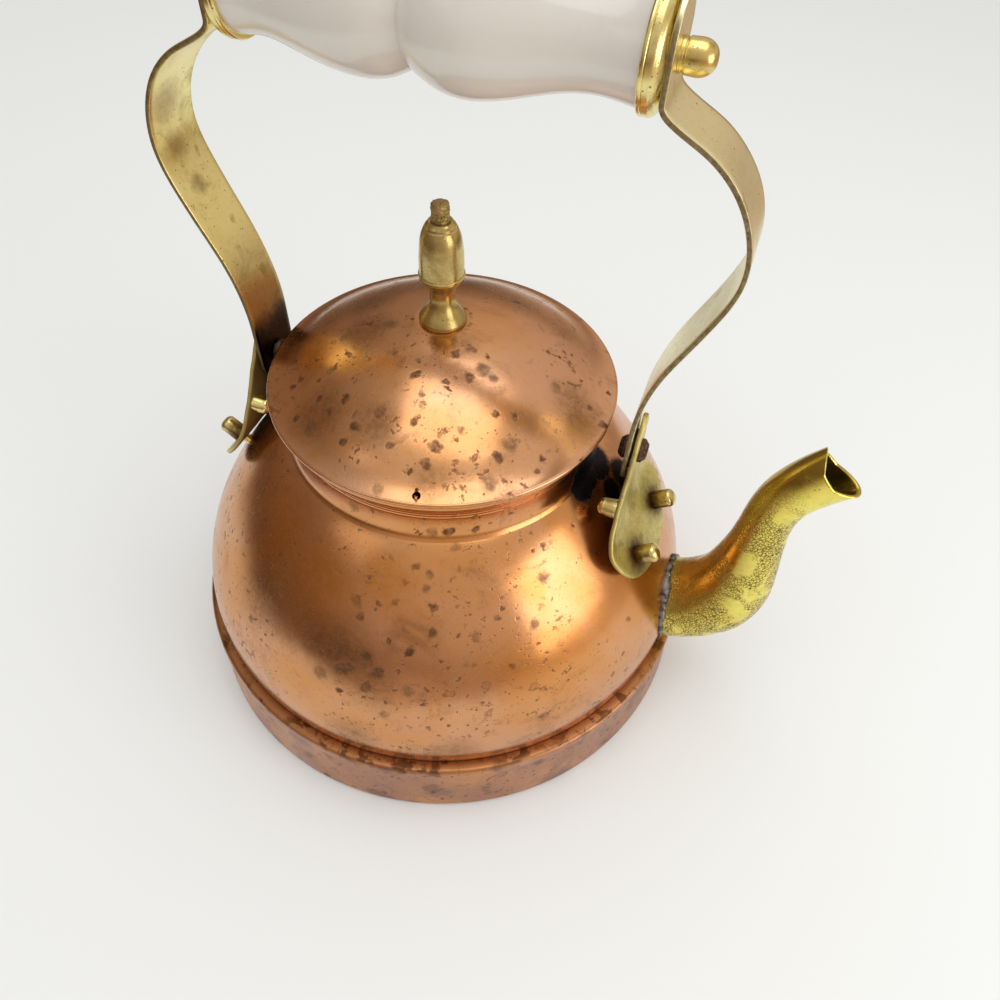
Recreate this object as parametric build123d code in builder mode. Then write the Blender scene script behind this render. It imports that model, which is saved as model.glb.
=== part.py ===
from build123d import *
import math
import os

# Copper tea kettle with a lift-off lid, a brass swan-neck spout and a swinging handle.
# Millimetres. +Z is up, +X runs along the spout, and the origin is the centre of the base.

# Vessel
WALL = 1.2
PAN_R = 89.4
PAN_FOOT_R = 91.0
PAN_CORNER_R = 2.0
HEM_STAND = 0.6
HEM_H = 3.2
HEM_ROUND = 1.4
LEDGE_Z = 27.0
LEDGE_W = 4.2
BODY_TUCK = 5.5
BODY_H = 68.5
BELLY_LEAN = (6.7, 26.4)
SHOULDER_LEAN = (9.3, -5.1)

# Neck collar
NECK_BORE_R = 47.3
SPIGOT_T = 1.05
SPIGOT_FIT = 0.05
SPIGOT_DEPTH = 3.0
COLLAR_SEAT = 1.1
COLLAR_H = 17.2
COLLAR_FLARE = 0.3
COLLAR_WAIST_LEAN = (-2.4, 4.0)
COLLAR_LIP_LEAN = (-2.8, -5.5)
BEAD_MINOR = 2.0

# Lid
LID_OVERHANG = 1.0
LID_RIM_MINOR = 0.75
LID_GAP = 0.4
BRIM_W = 8.3
BRIM_H = 4.8
DOME_H = 15.5
DOME_SLOPE = 11.0
LID_FLAT_R = 8.0
VENT_R = 1.1
VENT_INSET = 2.6
VENT_ANGLE = -75.7
FLANGE_GAP = 3.0
FLANGE_DEPTH = 11.0

# Finial: radii with their heights above the lid
STUD_R = 2.5
STUD_FIT = 0.05
STUD_H = 35.4
THREAD_PITCH = 1.0
THREAD_DEPTH = 0.25
THREAD_TURNS = 5
PEDESTAL_R = 6.8
PEDESTAL_RIM = 1.3
PEDESTAL_SHAPE = [(5.9, 2.6), (4.3, 5.1), (3.5, 8.6), (4.0, 11.0), (5.6, 13.2)]
CUP_R = 6.4
CUP_H = 15.4
CUP_RIM = 0.9
ACORN_FOOT_R = 6.1
ACORN_SHAPE = [(6.0, 19.8), (5.75, 23.9), (5.2, 26.7), (4.4, 28.6)]
ACORN_RING_R = 3.6
ACORN_TOP_H = 30.4
WASHER_R = 6.5
WASHER_T = 1.0
NUT_ACROSS = 9.0
NUT_H = 3.2
STUD_BELOW_NUT = 1.2

# Spout: places along its centre line, outwards from the body's side and up from the root, with half the
# outer depth and width at each; the mouth's corners are counted the same way
SPOUT_ROOT_H = 10.6
SPOUT_SHAPE = [(-9.8, 0.0), (3.1, 3.4), (13.5, 12.9), (17.7, 30.6), (18.0, 49.0), (19.7, 64.7), (26.5, 76.6),
               (33.9, 84.6)]
SPOUT_DEPTHS = [15.6, 14.2, 13.7, 10.6, 7.8, 7.5, 8.4, 9.4]
SPOUT_WIDTHS = [15.4, 14.0, 13.4, 10.4, 7.6, 7.0, 6.2, 5.2]
SPOUT_WALL = 1.2
SPOUT_HOLE_R = 9.5
MOUTH_SHAPE = [(23.7, 87.8), (25.3, 82.0), (29.1, 78.3), (38.8, 74.8)]
SOLDER_W = 2.2
SOLDER_H = 1.7

# Handle brackets: depths are counted down from the neck's foot
PIVOT_RISE = 10.5
PLATE_T = 1.4
PLATE_STAND = 0.7
PLATE_BEND_DEPTH = 2.5
PLATE_DEPTHS = (11.5, 15.5, 21.5, 27.5, 33.5, 39.5)
TONGUE_RISE = 13.3
LEAF_HALF_W = 23.0
LEAF_HALF_H = 13.0
LEAF_Y = -3.5
LEAF_DEPTH = 14.0
LEAF_TIP_R = 5.0
BOLT_R = 1.6
BOLT_HOLE_GAP = 0.1
BOLT_SPACING = 23.8
BOLT_DEPTH = 18.9
BOLT_HEAD_R = 3.6
BOLT_HEAD_H = 2.0
CAP_R = 3.0
CAP_L = 7.2
CAP_BORE = 5.0
PEG_R = 3.1
PEG_Y = -15.0
PEG_DEPTH = 1.1
PEG_REACH = 5.8

# Handle
RIVET_R = 2.2
RIVET_HEAD_R = 3.6
RIVET_HEAD_H = 2.4
RIVET_HEAD_ROUND = 1.4
RUNNING_FIT = 0.05
SIDE_GAP = 0.3
PIVOT_WASHER_R = 6.0
PIVOT_WASHER_T = 0.4
STRAP_W = 18.2
STRAP_T = 1.3
STRAP_PAST_LID = 6.4
STRAP_STRAIGHT = 12.0
STRAP_LOW_BOW = [(17.5, 4.1), (38.0, 14.4), (55.0, 21.8)]
STRAP_HIGH_BOW = [(17.8, 19.1), (8.0, 10.3), (3.8, 3.0)]
STRAP_BEND_DEPTH = 6.2
GRIP_RISE = 106.2
STRAP_ABOVE_GRIP = 11.3
GRIP_HALF = 45.7
GRIP_BORE_R = 3.4
GRIP_WAIST_X = -3.8
GRIP_WAIST_R = 10.8
GRIP_END_R = 10.6
GRIP_BACK_END = [(5.7, 10.1), (14.7, 11.9)]
GRIP_BACK_SWELL = [(13.2, 14.4), (4.2, 13.1)]
GRIP_SPOUT_SWELL = [(5.0, 13.4), (12.8, 14.9)]
GRIP_SPOUT_END = [(24.7, 12.6), (8.7, 9.6)]
ROD_R = 2.5
FERRULE_R = 11.8
FERRULE_T = 4.5
FERRULE_BEVEL = 2.0
DOME_NUT_R = 3.5
DOME_NUT_L = 7.3
ROD_IN_NUT = 4.2

# Worked out from the sizes above
HEM_R = PAN_R + HEM_STAND
BODY_FOOT_R = HEM_R - LEDGE_W
SPIGOT_R = NECK_BORE_R + SPIGOT_T
COLLAR_FOOT_R = SPIGOT_R + SPIGOT_FIT + COLLAR_SEAT
COLLAR_Z = LEDGE_Z + BODY_H
BELLY = [(BODY_FOOT_R, LEDGE_Z), (BODY_FOOT_R + BELLY_LEAN[0], LEDGE_Z + BELLY_LEAN[1]),
         (COLLAR_FOOT_R + SHOULDER_LEAN[0], COLLAR_Z + SHOULDER_LEAN[1]), (COLLAR_FOOT_R, COLLAR_Z)]
BEAD_R = COLLAR_FOOT_R + COLLAR_FLARE
BEAD_Z = COLLAR_Z + COLLAR_H
LID_R = BEAD_R + BEAD_MINOR + LID_OVERHANG
RIM_R = LID_R - LID_RIM_MINOR
RIM_Z = BEAD_Z + math.sqrt((BEAD_MINOR + LID_RIM_MINOR + LID_GAP) ** 2 - (RIM_R - BEAD_R) ** 2)
DOME_R = LID_R - BRIM_W
LID_TOP_Z = RIM_Z + BRIM_H + DOME_H
DOME_CHORD = math.hypot(DOME_R - LID_FLAT_R, DOME_H)
DOME_START = math.radians(DOME_SLOPE)
DOME_CURVE = DOME_CHORD / 2 / math.sin(math.atan2(DOME_H, DOME_R - LID_FLAT_R) - DOME_START)
FLANGE_R = NECK_BORE_R - FLANGE_GAP
BOLT_PLACES = (LEAF_Y - BOLT_SPACING / 2, LEAF_Y + BOLT_SPACING / 2)
BOLT_Z = COLLAR_Z - BOLT_DEPTH
LEAF_Z = COLLAR_Z - LEAF_DEPTH
PEG_Z = COLLAR_Z - PEG_DEPTH
PLATE_BEND_Z = COLLAR_Z - PLATE_BEND_DEPTH
PIVOT_Z = COLLAR_Z + PIVOT_RISE
TONGUE_TOP_Z = PIVOT_Z + TONGUE_RISE
GRIP_Z = PIVOT_Z + GRIP_RISE
STRAP_BEND_Z = GRIP_Z - STRAP_BEND_DEPTH
STRAP_X = LID_R + STRAP_PAST_LID
TONGUE_X = STRAP_X + STRAP_T + PIVOT_WASHER_T + SIDE_GAP
STRAP_MID_X = STRAP_X + STRAP_T / 2
STRAP_TOP_X = GRIP_HALF + FERRULE_T
STRAP_END_Z = GRIP_Z + STRAP_ABOVE_GRIP

os.makedirs("parts", exist_ok=True)


def save(piece, name):
    """Labels a finished piece and writes it."""
    piece.label = name
    export_step(piece, f"parts/{name}.step")


def both_sides(piece, name):
    """Writes a handle or bracket piece for the spout's side, and its mirror image for the back."""
    save(piece, f"{name}_spout_side")
    save(mirror(piece, about=Plane.YZ), f"{name}_back")


def belly_point(share):
    """Radius and height on the body's outer line, at a share of the way from foot to neck."""
    rest = 1 - share
    weights = (rest ** 3, 3 * share * rest ** 2, 3 * share ** 2 * rest, share ** 3)
    return [sum(w * point[k] for w, point in zip(weights, BELLY)) for k in (0, 1)]


def belly_radius(z):
    """Radius of the body's outer face at a height, found by halving."""
    low, high = 0.0, 1.0
    for _ in range(40):
        middle = (low + high) / 2
        if belly_point(middle)[1] < z:
            low = middle
        else:
            high = middle
    return belly_point(low)[0]


SPOUT_Z = LEDGE_Z + SPOUT_ROOT_H
SPOUT_SIDE = belly_radius(SPOUT_Z)
SPOUT_PATH = [(SPOUT_SIDE + out, SPOUT_Z + up) for out, up in SPOUT_SHAPE]
MOUTH_TIP, MOUTH_NOTCH, MOUTH_STEP, MOUTH_LIP = [(SPOUT_SIDE + out, SPOUT_Z + up) for out, up in MOUTH_SHAPE]


def body_blank(stand):
    """The body's outer form, filled, and wider by stand; it only trims other pieces."""
    with BuildPart() as blank:
        with BuildSketch(Plane.XZ):
            with BuildLine():
                foot, belly, shoulder, neck = BELLY
                Bezier((foot[0] + stand, foot[1]), (belly[0] + stand, belly[1]),
                       (shoulder[0] + stand, shoulder[1] + stand), (neck[0], neck[1] + stand))
                Polyline((neck[0], neck[1] + stand), (0, neck[1] + stand), (0, foot[1]), (foot[0] + stand, foot[1]))
            make_face()
        revolve(axis=Axis.Z)
    return blank.part


def round_pin(plane, radius, length, end_round):
    """A pin that starts at a plane and ends in a rounded tip."""
    with BuildPart() as pin:
        with BuildSketch(plane):
            Circle(radius)
        extrude(amount=length)
        fillet(edges().sort_by(Axis(plane.origin, plane.z_dir))[-1], end_round)
    return pin.part


# Bottom pan: flat base, upright wall and a hem that grips the foot of the body.
with BuildPart() as base_pan:
    with BuildSketch(Plane.XZ) as pan_section:
        with BuildLine():
            Polyline((0, 0), (PAN_FOOT_R, 0), (PAN_R, LEDGE_Z - HEM_H), (HEM_R, LEDGE_Z - HEM_H), (HEM_R, LEDGE_Z),
                     (BODY_FOOT_R, LEDGE_Z), (BODY_FOOT_R, LEDGE_Z - HEM_H), (PAN_R - WALL, LEDGE_Z - HEM_H),
                     (PAN_FOOT_R - WALL, WALL), (0, WALL), (0, 0))
        make_face()
        fillet(pan_section.vertices().sort_by_distance((PAN_FOOT_R, 0))[0], PAN_CORNER_R)
        fillet(pan_section.vertices().sort_by_distance((PAN_FOOT_R - WALL, WALL))[0], PAN_CORNER_R - WALL)
        fillet(pan_section.vertices().sort_by_distance((HEM_R, LEDGE_Z))[0], HEM_ROUND)
    revolve(axis=Axis.Z)
save(base_pan.part, "base_pan")


def off_belly(z, gap):
    """Place in side view that stands off the body's outer face by a gap, at a height."""
    slope = (belly_radius(z + 0.5) - belly_radius(z - 0.5))
    return (belly_radius(z) + gap * math.hypot(1, slope), z)


def plate_side():
    """Middle line of a bracket plate in side view: upright tongue, then down over the body's shoulder."""
    low_points = [off_belly(COLLAR_Z - depth, PLATE_STAND + PLATE_T / 2) for depth in PLATE_DEPTHS]
    last_run = (low_points[-1][0] - low_points[-2][0], low_points[-1][1] - low_points[-2][1])
    bend = (TONGUE_X + PLATE_T / 2, PLATE_BEND_Z)
    Line((bend[0], TONGUE_TOP_Z), bend)
    Spline(bend, *low_points, tangents=[(0, -1), last_run])


with BuildLine(Plane.XZ) as plate_line:
    plate_side()


def plate_frame(z, y):
    """Plane on a plate's outer face at a height and side offset, with its normal square to the plate."""
    curve = plate_line.edges().sort_by(Axis.Z)[0]
    low, high = 0.0, 1.0
    for _ in range(40):
        middle = (low + high) / 2
        if (curve @ middle).Z > z:
            low = middle
        else:
            high = middle
    run = curve % low
    normal = Vector(-run.Z, 0, run.X)
    if normal.X < 0:
        normal = -normal
    return Plane(origin=(curve @ low) + normal * (PLATE_T / 2) + Vector(0, y, 0), x_dir=(0, 1, 0), z_dir=normal)


def depth_to_body(plane):
    """Distance from a plate's outer face, along the bolt, to the body's outer face."""
    depth = 0.0
    for _ in range(30):
        place = plane.origin - plane.z_dir * depth
        depth += (math.hypot(place.X, place.Y) - belly_radius(place.Z)) * plane.z_dir.X
    return depth


bolt_planes = [plate_frame(BOLT_Z, side_y) for side_y in BOLT_PLACES]

# Body: raised copper shell, open at the foot and at the neck.
with BuildPart() as body_shell:
    with BuildSketch(Plane.XZ):
        with BuildLine():
            Bezier(*BELLY)
            Polyline(BELLY[-1], (0, COLLAR_Z), (0, LEDGE_Z - BODY_TUCK), (BODY_FOOT_R, LEDGE_Z - BODY_TUCK), BELLY[0])
        make_face()
    revolve(axis=Axis.Z)
    offset(amount=-WALL, openings=faces().filter_by(Axis.Z).sort_by(Axis.Z)[0])
    with BuildSketch(Plane.XY.offset(COLLAR_Z)):
        Circle(SPIGOT_R + SPIGOT_FIT)
    extrude(amount=-SPIGOT_DEPTH * 2, mode=Mode.SUBTRACT)
    spout_run = Vector(SPOUT_PATH[1][0] - SPOUT_PATH[0][0], 0, SPOUT_PATH[1][1] - SPOUT_PATH[0][1])
    with BuildSketch(Plane(origin=(SPOUT_PATH[0][0], 0, SPOUT_PATH[0][1]), z_dir=spout_run)):
        Circle(SPOUT_HOLE_R)
    extrude(amount=BODY_FOOT_R - SPOUT_PATH[0][0] + SPOUT_HOLE_R, mode=Mode.SUBTRACT)
    for plane in bolt_planes:
        with BuildSketch(plane):
            Circle(BOLT_R + BOLT_HOLE_GAP)
        hole = extrude(amount=-depth_to_body(plane) - WALL * 3, mode=Mode.SUBTRACT)
        add(mirror(hole, about=Plane.YZ, mode=Mode.PRIVATE), mode=Mode.SUBTRACT)
save(body_shell.part, "body_shell")

# Neck collar: waisted wall on the body's rim, a rolled bead on top and a spigot into the body.
with BuildPart() as neck_collar:
    with BuildSketch(Plane.XZ):
        with BuildLine():
            wall_foot = (COLLAR_FOOT_R - WALL / 2, COLLAR_Z)
            Bezier(wall_foot, (wall_foot[0] + COLLAR_WAIST_LEAN[0], COLLAR_Z + COLLAR_WAIST_LEAN[1]),
                   (BEAD_R + COLLAR_LIP_LEAN[0], BEAD_Z + COLLAR_LIP_LEAN[1]), (BEAD_R, BEAD_Z))
        trace(line_width=WALL)
        with Locations((BEAD_R, BEAD_Z)):
            Circle(BEAD_MINOR)
        with Locations((NECK_BORE_R, COLLAR_Z)):
            Rectangle(COLLAR_FOOT_R - NECK_BORE_R, WALL, align=(Align.MIN, Align.MIN))
        with Locations((NECK_BORE_R, COLLAR_Z)):
            Rectangle(COLLAR_FOOT_R, SPIGOT_DEPTH, align=(Align.MIN, Align.MAX), mode=Mode.SUBTRACT)
        with Locations((NECK_BORE_R, COLLAR_Z)):
            Rectangle(SPIGOT_T, SPIGOT_DEPTH, align=(Align.MIN, Align.MAX))
    revolve(axis=Axis.Z)
save(neck_collar.part, "neck_collar")

# Lid: dome and brim in one sheet with a thick rim, a steam hole near the rim and a hole for the stud.
with BuildPart() as lid_shell:
    with BuildSketch(Plane.XZ):
        with BuildLine():
            flat = Line((0, LID_TOP_Z), (LID_FLAT_R, LID_TOP_Z))
            dome = TangentArc((LID_FLAT_R, LID_TOP_Z), (DOME_R, LID_TOP_Z - DOME_H),
                              tangent=(math.cos(DOME_START), -math.sin(DOME_START)))
            brim = Line((DOME_R, LID_TOP_Z - DOME_H), (RIM_R, RIM_Z + LID_RIM_MINOR))
            offset(amount=WALL, side=Side.RIGHT)
        make_face()
        with Locations((RIM_R, RIM_Z)):
            Circle(LID_RIM_MINOR)
    revolve(axis=Axis.Z)
    with BuildSketch(Plane.XY.offset(RIM_Z - BEAD_MINOR)):
        Circle(STUD_R + STUD_FIT)
        with PolarLocations(LID_R - VENT_INSET, 1, VENT_ANGLE):
            Circle(VENT_R)
    extrude(amount=DOME_H * 2, mode=Mode.SUBTRACT)
save(lid_shell.part, "lid_shell")


def lid_underside(radius):
    """Height of the lid's inner face at a radius on the dome."""
    across = radius - LID_FLAT_R + DOME_CURVE * math.sin(DOME_START)
    return LID_TOP_Z - DOME_CURVE * math.cos(DOME_START) + math.sqrt((DOME_CURVE - WALL) ** 2 - across ** 2)


# Locating ring under the lid: it drops into the neck.
with BuildPart() as lid_flange:
    with BuildSketch(Plane.XZ):
        with BuildLine():
            Polyline((FLANGE_R - WALL, RIM_Z - FLANGE_DEPTH), (FLANGE_R, RIM_Z - FLANGE_DEPTH),
                     (FLANGE_R, lid_underside(FLANGE_R)), (FLANGE_R - WALL, lid_underside(FLANGE_R - WALL)), close=True)
        make_face()
    revolve(axis=Axis.Z)
save(lid_flange.part, "lid_flange")


def on_lid(points):
    """Finial places, with their heights counted from the lid's top."""
    return [(radius, LID_TOP_Z + height) for radius, height in points]


# Finial foot: flared pedestal that ends in a small cup.
with BuildPart() as finial_pedestal:
    with BuildSketch(Plane.XZ) as pedestal_section:
        with BuildLine():
            rim_top, cup_foot = on_lid([(PEDESTAL_R, PEDESTAL_RIM), (CUP_R, CUP_H - CUP_RIM)])
            Spline(rim_top, *on_lid(PEDESTAL_SHAPE), cup_foot)
            Polyline(cup_foot, (CUP_R, LID_TOP_Z + CUP_H), (STUD_R + STUD_FIT, LID_TOP_Z + CUP_H),
                     (STUD_R + STUD_FIT, LID_TOP_Z), (PEDESTAL_R, LID_TOP_Z), rim_top)
        make_face()
        fillet(pedestal_section.vertices().sort_by_distance((PEDESTAL_R, LID_TOP_Z))[0], PEDESTAL_RIM / 3)
        fillet(pedestal_section.vertices().sort_by_distance((CUP_R, LID_TOP_Z + CUP_H))[0], CUP_RIM / 2)
    revolve(axis=Axis.Z)
save(finial_pedestal.part, "finial_pedestal")

# Finial body: acorn standing in the cup, closed by a small ring round the stud.
with BuildPart() as finial_acorn:
    with BuildSketch(Plane.XZ):
        with BuildLine():
            sides = on_lid([(ACORN_FOOT_R, CUP_H), *ACORN_SHAPE])
            ring = (ACORN_RING_R, LID_TOP_Z + ACORN_TOP_H)
            Spline(*sides)
            Line(sides[-1], ring)
            Polyline(ring, (STUD_R + STUD_FIT, ring[1]), (STUD_R + STUD_FIT, sides[0][1]), sides[0])
        make_face()
    revolve(axis=Axis.Z)
save(finial_acorn.part, "finial_acorn")

# Stud through the whole finial and the lid; its bare end still shows worn thread grooves.
NUT_TOP_Z = LID_TOP_Z - WALL - WASHER_T
with BuildPart() as finial_stud:
    with BuildSketch(Plane.XY.offset(NUT_TOP_Z - NUT_H - STUD_BELOW_NUT)):
        Circle(STUD_R)
    extrude(amount=LID_TOP_Z + STUD_H - NUT_TOP_Z + NUT_H + STUD_BELOW_NUT)
    with BuildSketch(Plane.XZ):
        for turn in range(THREAD_TURNS):
            with Locations((STUD_R, LID_TOP_Z + STUD_H - (turn + 1) * THREAD_PITCH)):
                Circle(THREAD_DEPTH)
    revolve(axis=Axis.Z, mode=Mode.SUBTRACT)
save(finial_stud.part, "finial_stud")

with BuildPart() as finial_washer:
    with BuildSketch(Plane.XY.offset(NUT_TOP_Z)):
        Circle(WASHER_R)
        Circle(STUD_R + STUD_FIT, mode=Mode.SUBTRACT)
    extrude(amount=WASHER_T)
save(finial_washer.part, "finial_washer")

with BuildPart() as finial_nut:
    with BuildSketch(Plane.XY.offset(NUT_TOP_Z)):
        RegularPolygon(NUT_ACROSS / 2, 6, major_radius=False)
        Circle(STUD_R + STUD_FIT, mode=Mode.SUBTRACT)
    extrude(amount=-NUT_H)
save(finial_nut.part, "finial_nut")


def spout_tube(extra):
    """Filled tube along the spout's centre line, wider than the spout by extra all round."""
    with BuildLine(Plane.XZ) as centre:
        Spline(*SPOUT_PATH)
    with BuildPart() as tube:
        for (x, z), width, depth in zip(SPOUT_PATH, SPOUT_WIDTHS, SPOUT_DEPTHS):
            run = centre.edge().tangent_at((x, 0, z))
            with BuildSketch(Plane(origin=(x, 0, z), x_dir=(0, 1, 0), z_dir=run)):
                Ellipse(width + extra, depth + extra)
        loft()
    return tube.part


with BuildPart() as pan_blank:
    with BuildSketch(Plane.XY):
        Circle(HEM_R)
    extrude(amount=LEDGE_Z)

body_outside = body_blank(0)
spout_outside = spout_tube(0)

# Spout: swan-neck tube, cut to the body at its root and to a beak at its mouth.
with BuildPart() as spout_shell:
    add(spout_outside)
    add(spout_tube(-SPOUT_WALL), mode=Mode.SUBTRACT)
    add(body_outside, mode=Mode.SUBTRACT)
    add(pan_blank.part, mode=Mode.SUBTRACT)
    with BuildSketch(Plane.XZ):
        with BuildLine():
            far = (MOUTH_LIP[0] + SPOUT_DEPTHS[-1] * 2, MOUTH_TIP[1] + SPOUT_DEPTHS[-1] * 2)
            Polyline((MOUTH_TIP[0] - SPOUT_WALL, MOUTH_TIP[1] + SPOUT_WALL), MOUTH_TIP, MOUTH_NOTCH, MOUTH_STEP, MOUTH_LIP,
                     (far[0], MOUTH_LIP[1]), far, (MOUTH_TIP[0] - SPOUT_WALL, far[1]), close=True)
        make_face()
    extrude(amount=SPOUT_WIDTHS[-1] * 2, both=True, mode=Mode.SUBTRACT)
save(spout_shell.part, "spout_shell")

# Solder: fillet of hard grey metal round the spout's root.
with BuildPart() as spout_solder:
    add(spout_tube(SOLDER_W))
    add(body_blank(SOLDER_H), mode=Mode.INTERSECT)
    add(body_outside, mode=Mode.SUBTRACT)
    add(pan_blank.part, mode=Mode.SUBTRACT)
    add(spout_outside, mode=Mode.SUBTRACT)
save(spout_solder.part, "spout_solder")

# Bracket plate: leaf-shaped brass sheet with an upright tongue that carries the handle's pivot.
with BuildPart() as bracket_plate:
    with BuildSketch(Plane.XZ):
        with BuildLine():
            plate_side()
        trace(line_width=PLATE_T)
    extrude(amount=LEAF_HALF_W - LEAF_Y, both=True)
    with BuildSketch(Plane.YZ.offset(TONGUE_X / 2)):
        with Locations((LEAF_Y, LEAF_Z)):
            Ellipse(LEAF_HALF_W, LEAF_HALF_H)
        with Locations((0, TONGUE_TOP_Z - LEAF_TIP_R)):
            Circle(LEAF_TIP_R)
        make_hull()
    extrude(amount=BODY_FOOT_R, mode=Mode.INTERSECT)
    with BuildSketch(Plane.YZ.offset(TONGUE_X / 2)):
        with Locations((0, PIVOT_Z)):
            Circle(RIVET_R + BOLT_HOLE_GAP)
    extrude(amount=TONGUE_X, mode=Mode.SUBTRACT)
    for plane in bolt_planes:
        with BuildSketch(plane):
            Circle(BOLT_R + BOLT_HOLE_GAP)
        extrude(amount=PLATE_T * 2, both=True, mode=Mode.SUBTRACT)
both_sides(bracket_plate.part, "bracket_plate")

# Two bolts for each bracket, with their heads inside the body.
with BuildPart() as bracket_bolts:
    for plane in bolt_planes:
        depth = depth_to_body(plane)
        with BuildSketch(plane.offset(-depth - WALL - BOLT_HEAD_H)):
            Circle(BOLT_HEAD_R)
        extrude(amount=BOLT_HEAD_H)
    add(body_shell.part, mode=Mode.SUBTRACT)
    for plane in bolt_planes:
        depth = depth_to_body(plane)
        with BuildSketch(plane.offset(-depth - WALL - BOLT_HEAD_H / 2)):
            Circle(BOLT_R)
        extrude(amount=depth + WALL + BOLT_HEAD_H / 2 + CAP_BORE)
both_sides(bracket_bolts.part, "bracket_bolts")

# Long round-ended brass nuts on those bolts.
with BuildPart() as bracket_nuts:
    for plane in bolt_planes:
        add(round_pin(plane, CAP_R, CAP_L, CAP_R * 0.97))
    for plane in bolt_planes:
        with BuildSketch(plane):
            Circle(BOLT_R)
        extrude(amount=CAP_BORE, mode=Mode.SUBTRACT)
both_sides(bracket_nuts.part, "bracket_nuts")

# Stop peg on the collar's side of the plate, under the front of the folded strap.
PEG_ROOT = plate_frame(PEG_Z, PEG_Y).origin.X - PLATE_T
with BuildPart() as bracket_peg:
    add(round_pin(Plane(origin=(PEG_ROOT, PEG_Y, PEG_Z), z_dir=(-1, 0, 0)), PEG_R, PEG_REACH, PEG_R * 0.97))
both_sides(bracket_peg.part, "bracket_peg")

# Pivot rivet: a head inside the strap, a shank, and a head outside the tongue.
with BuildPart() as pivot_rivet:
    inner_face = Plane(origin=(STRAP_X - SIDE_GAP, 0, PIVOT_Z), z_dir=(-1, 0, 0))
    outer_face = Plane(origin=(TONGUE_X + PLATE_T, 0, PIVOT_Z), z_dir=(1, 0, 0))
    for face in (inner_face, outer_face):
        add(round_pin(face, RIVET_HEAD_R, RIVET_HEAD_H, RIVET_HEAD_ROUND))
    with BuildSketch(inner_face):
        Circle(RIVET_R)
    extrude(amount=-(TONGUE_X + PLATE_T - STRAP_X + SIDE_GAP))
both_sides(pivot_rivet.part, "pivot_rivet")

with BuildPart() as pivot_washer:
    with BuildSketch(Plane.YZ.offset(STRAP_X + STRAP_T)):
        with Locations((0, PIVOT_Z)):
            Circle(PIVOT_WASHER_R)
            Circle(RIVET_R + RUNNING_FIT, mode=Mode.SUBTRACT)
    extrude(amount=PIVOT_WASHER_T)
both_sides(pivot_washer.part, "pivot_washer")

# Handle strap: flat brass strip, straight at the pivot, swung out in an S and upright again at the grip.
with BuildPart() as handle_strap:
    with BuildSketch(Plane.XZ):
        with BuildLine():
            foot = (STRAP_MID_X, PIVOT_Z - STRAP_W / 2 - STRAP_T)
            straight_end = (STRAP_MID_X, PIVOT_Z + STRAP_STRAIGHT)
            bend = (STRAP_TOP_X + STRAP_T / 2, STRAP_BEND_Z)
            run = (bend[0] - straight_end[0], bend[1] - straight_end[1])
            rises = [(up, out) for up, out in STRAP_LOW_BOW] + [(run[1] - down, out) for down, out in STRAP_HIGH_BOW]
            bow = [(straight_end[0] + run[0] * up / run[1] + out, straight_end[1] + up) for up, out in rises]
            Line(foot, straight_end)
            Spline(straight_end, *bow, bend, tangents=[(0, 1), (0, 1)])
            Line(bend, (bend[0], STRAP_END_Z + STRAP_T))
        trace(line_width=STRAP_T)
    extrude(amount=STRAP_W, both=True)
    with BuildSketch(Plane.YZ):
        with Locations((0, (PIVOT_Z - STRAP_W / 2 + STRAP_END_Z) / 2)):
            SlotOverall(STRAP_END_Z - PIVOT_Z + STRAP_W / 2, STRAP_W, rotation=90)
    extrude(amount=STRAP_X * 2, mode=Mode.INTERSECT)
    with BuildSketch(Plane.YZ):
        with Locations((0, PIVOT_Z)):
            Circle(RIVET_R + RUNNING_FIT)
        with Locations((0, GRIP_Z)):
            Circle(ROD_R)
    extrude(amount=STRAP_X * 2, mode=Mode.SUBTRACT)
both_sides(handle_strap.part, "handle_strap")


def grip_axis_plane(x):
    """Plane square to the grip at a distance from its middle."""
    return Plane(origin=(x, 0, GRIP_Z), z_dir=(1, 0, 0))


# End disc of the grip, bevelled on the strap's side.
with BuildPart() as ferrule:
    with BuildSketch(grip_axis_plane(GRIP_HALF)):
        Circle(FERRULE_R)
        Circle(ROD_R, mode=Mode.SUBTRACT)
    extrude(amount=FERRULE_T)
    fillet(edges().filter_by(GeomType.CIRCLE).group_by(Axis.X)[-1].sort_by(SortBy.RADIUS)[-1], FERRULE_BEVEL)
both_sides(ferrule.part, "ferrule")

with BuildPart() as dome_nut:
    add(round_pin(grip_axis_plane(STRAP_TOP_X + STRAP_T), DOME_NUT_R, DOME_NUT_L, DOME_NUT_R * 0.9))
    with BuildSketch(grip_axis_plane(STRAP_TOP_X + STRAP_T)):
        Circle(ROD_R)
    extrude(amount=ROD_IN_NUT, mode=Mode.SUBTRACT)
both_sides(dome_nut.part, "dome_nut")

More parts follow.
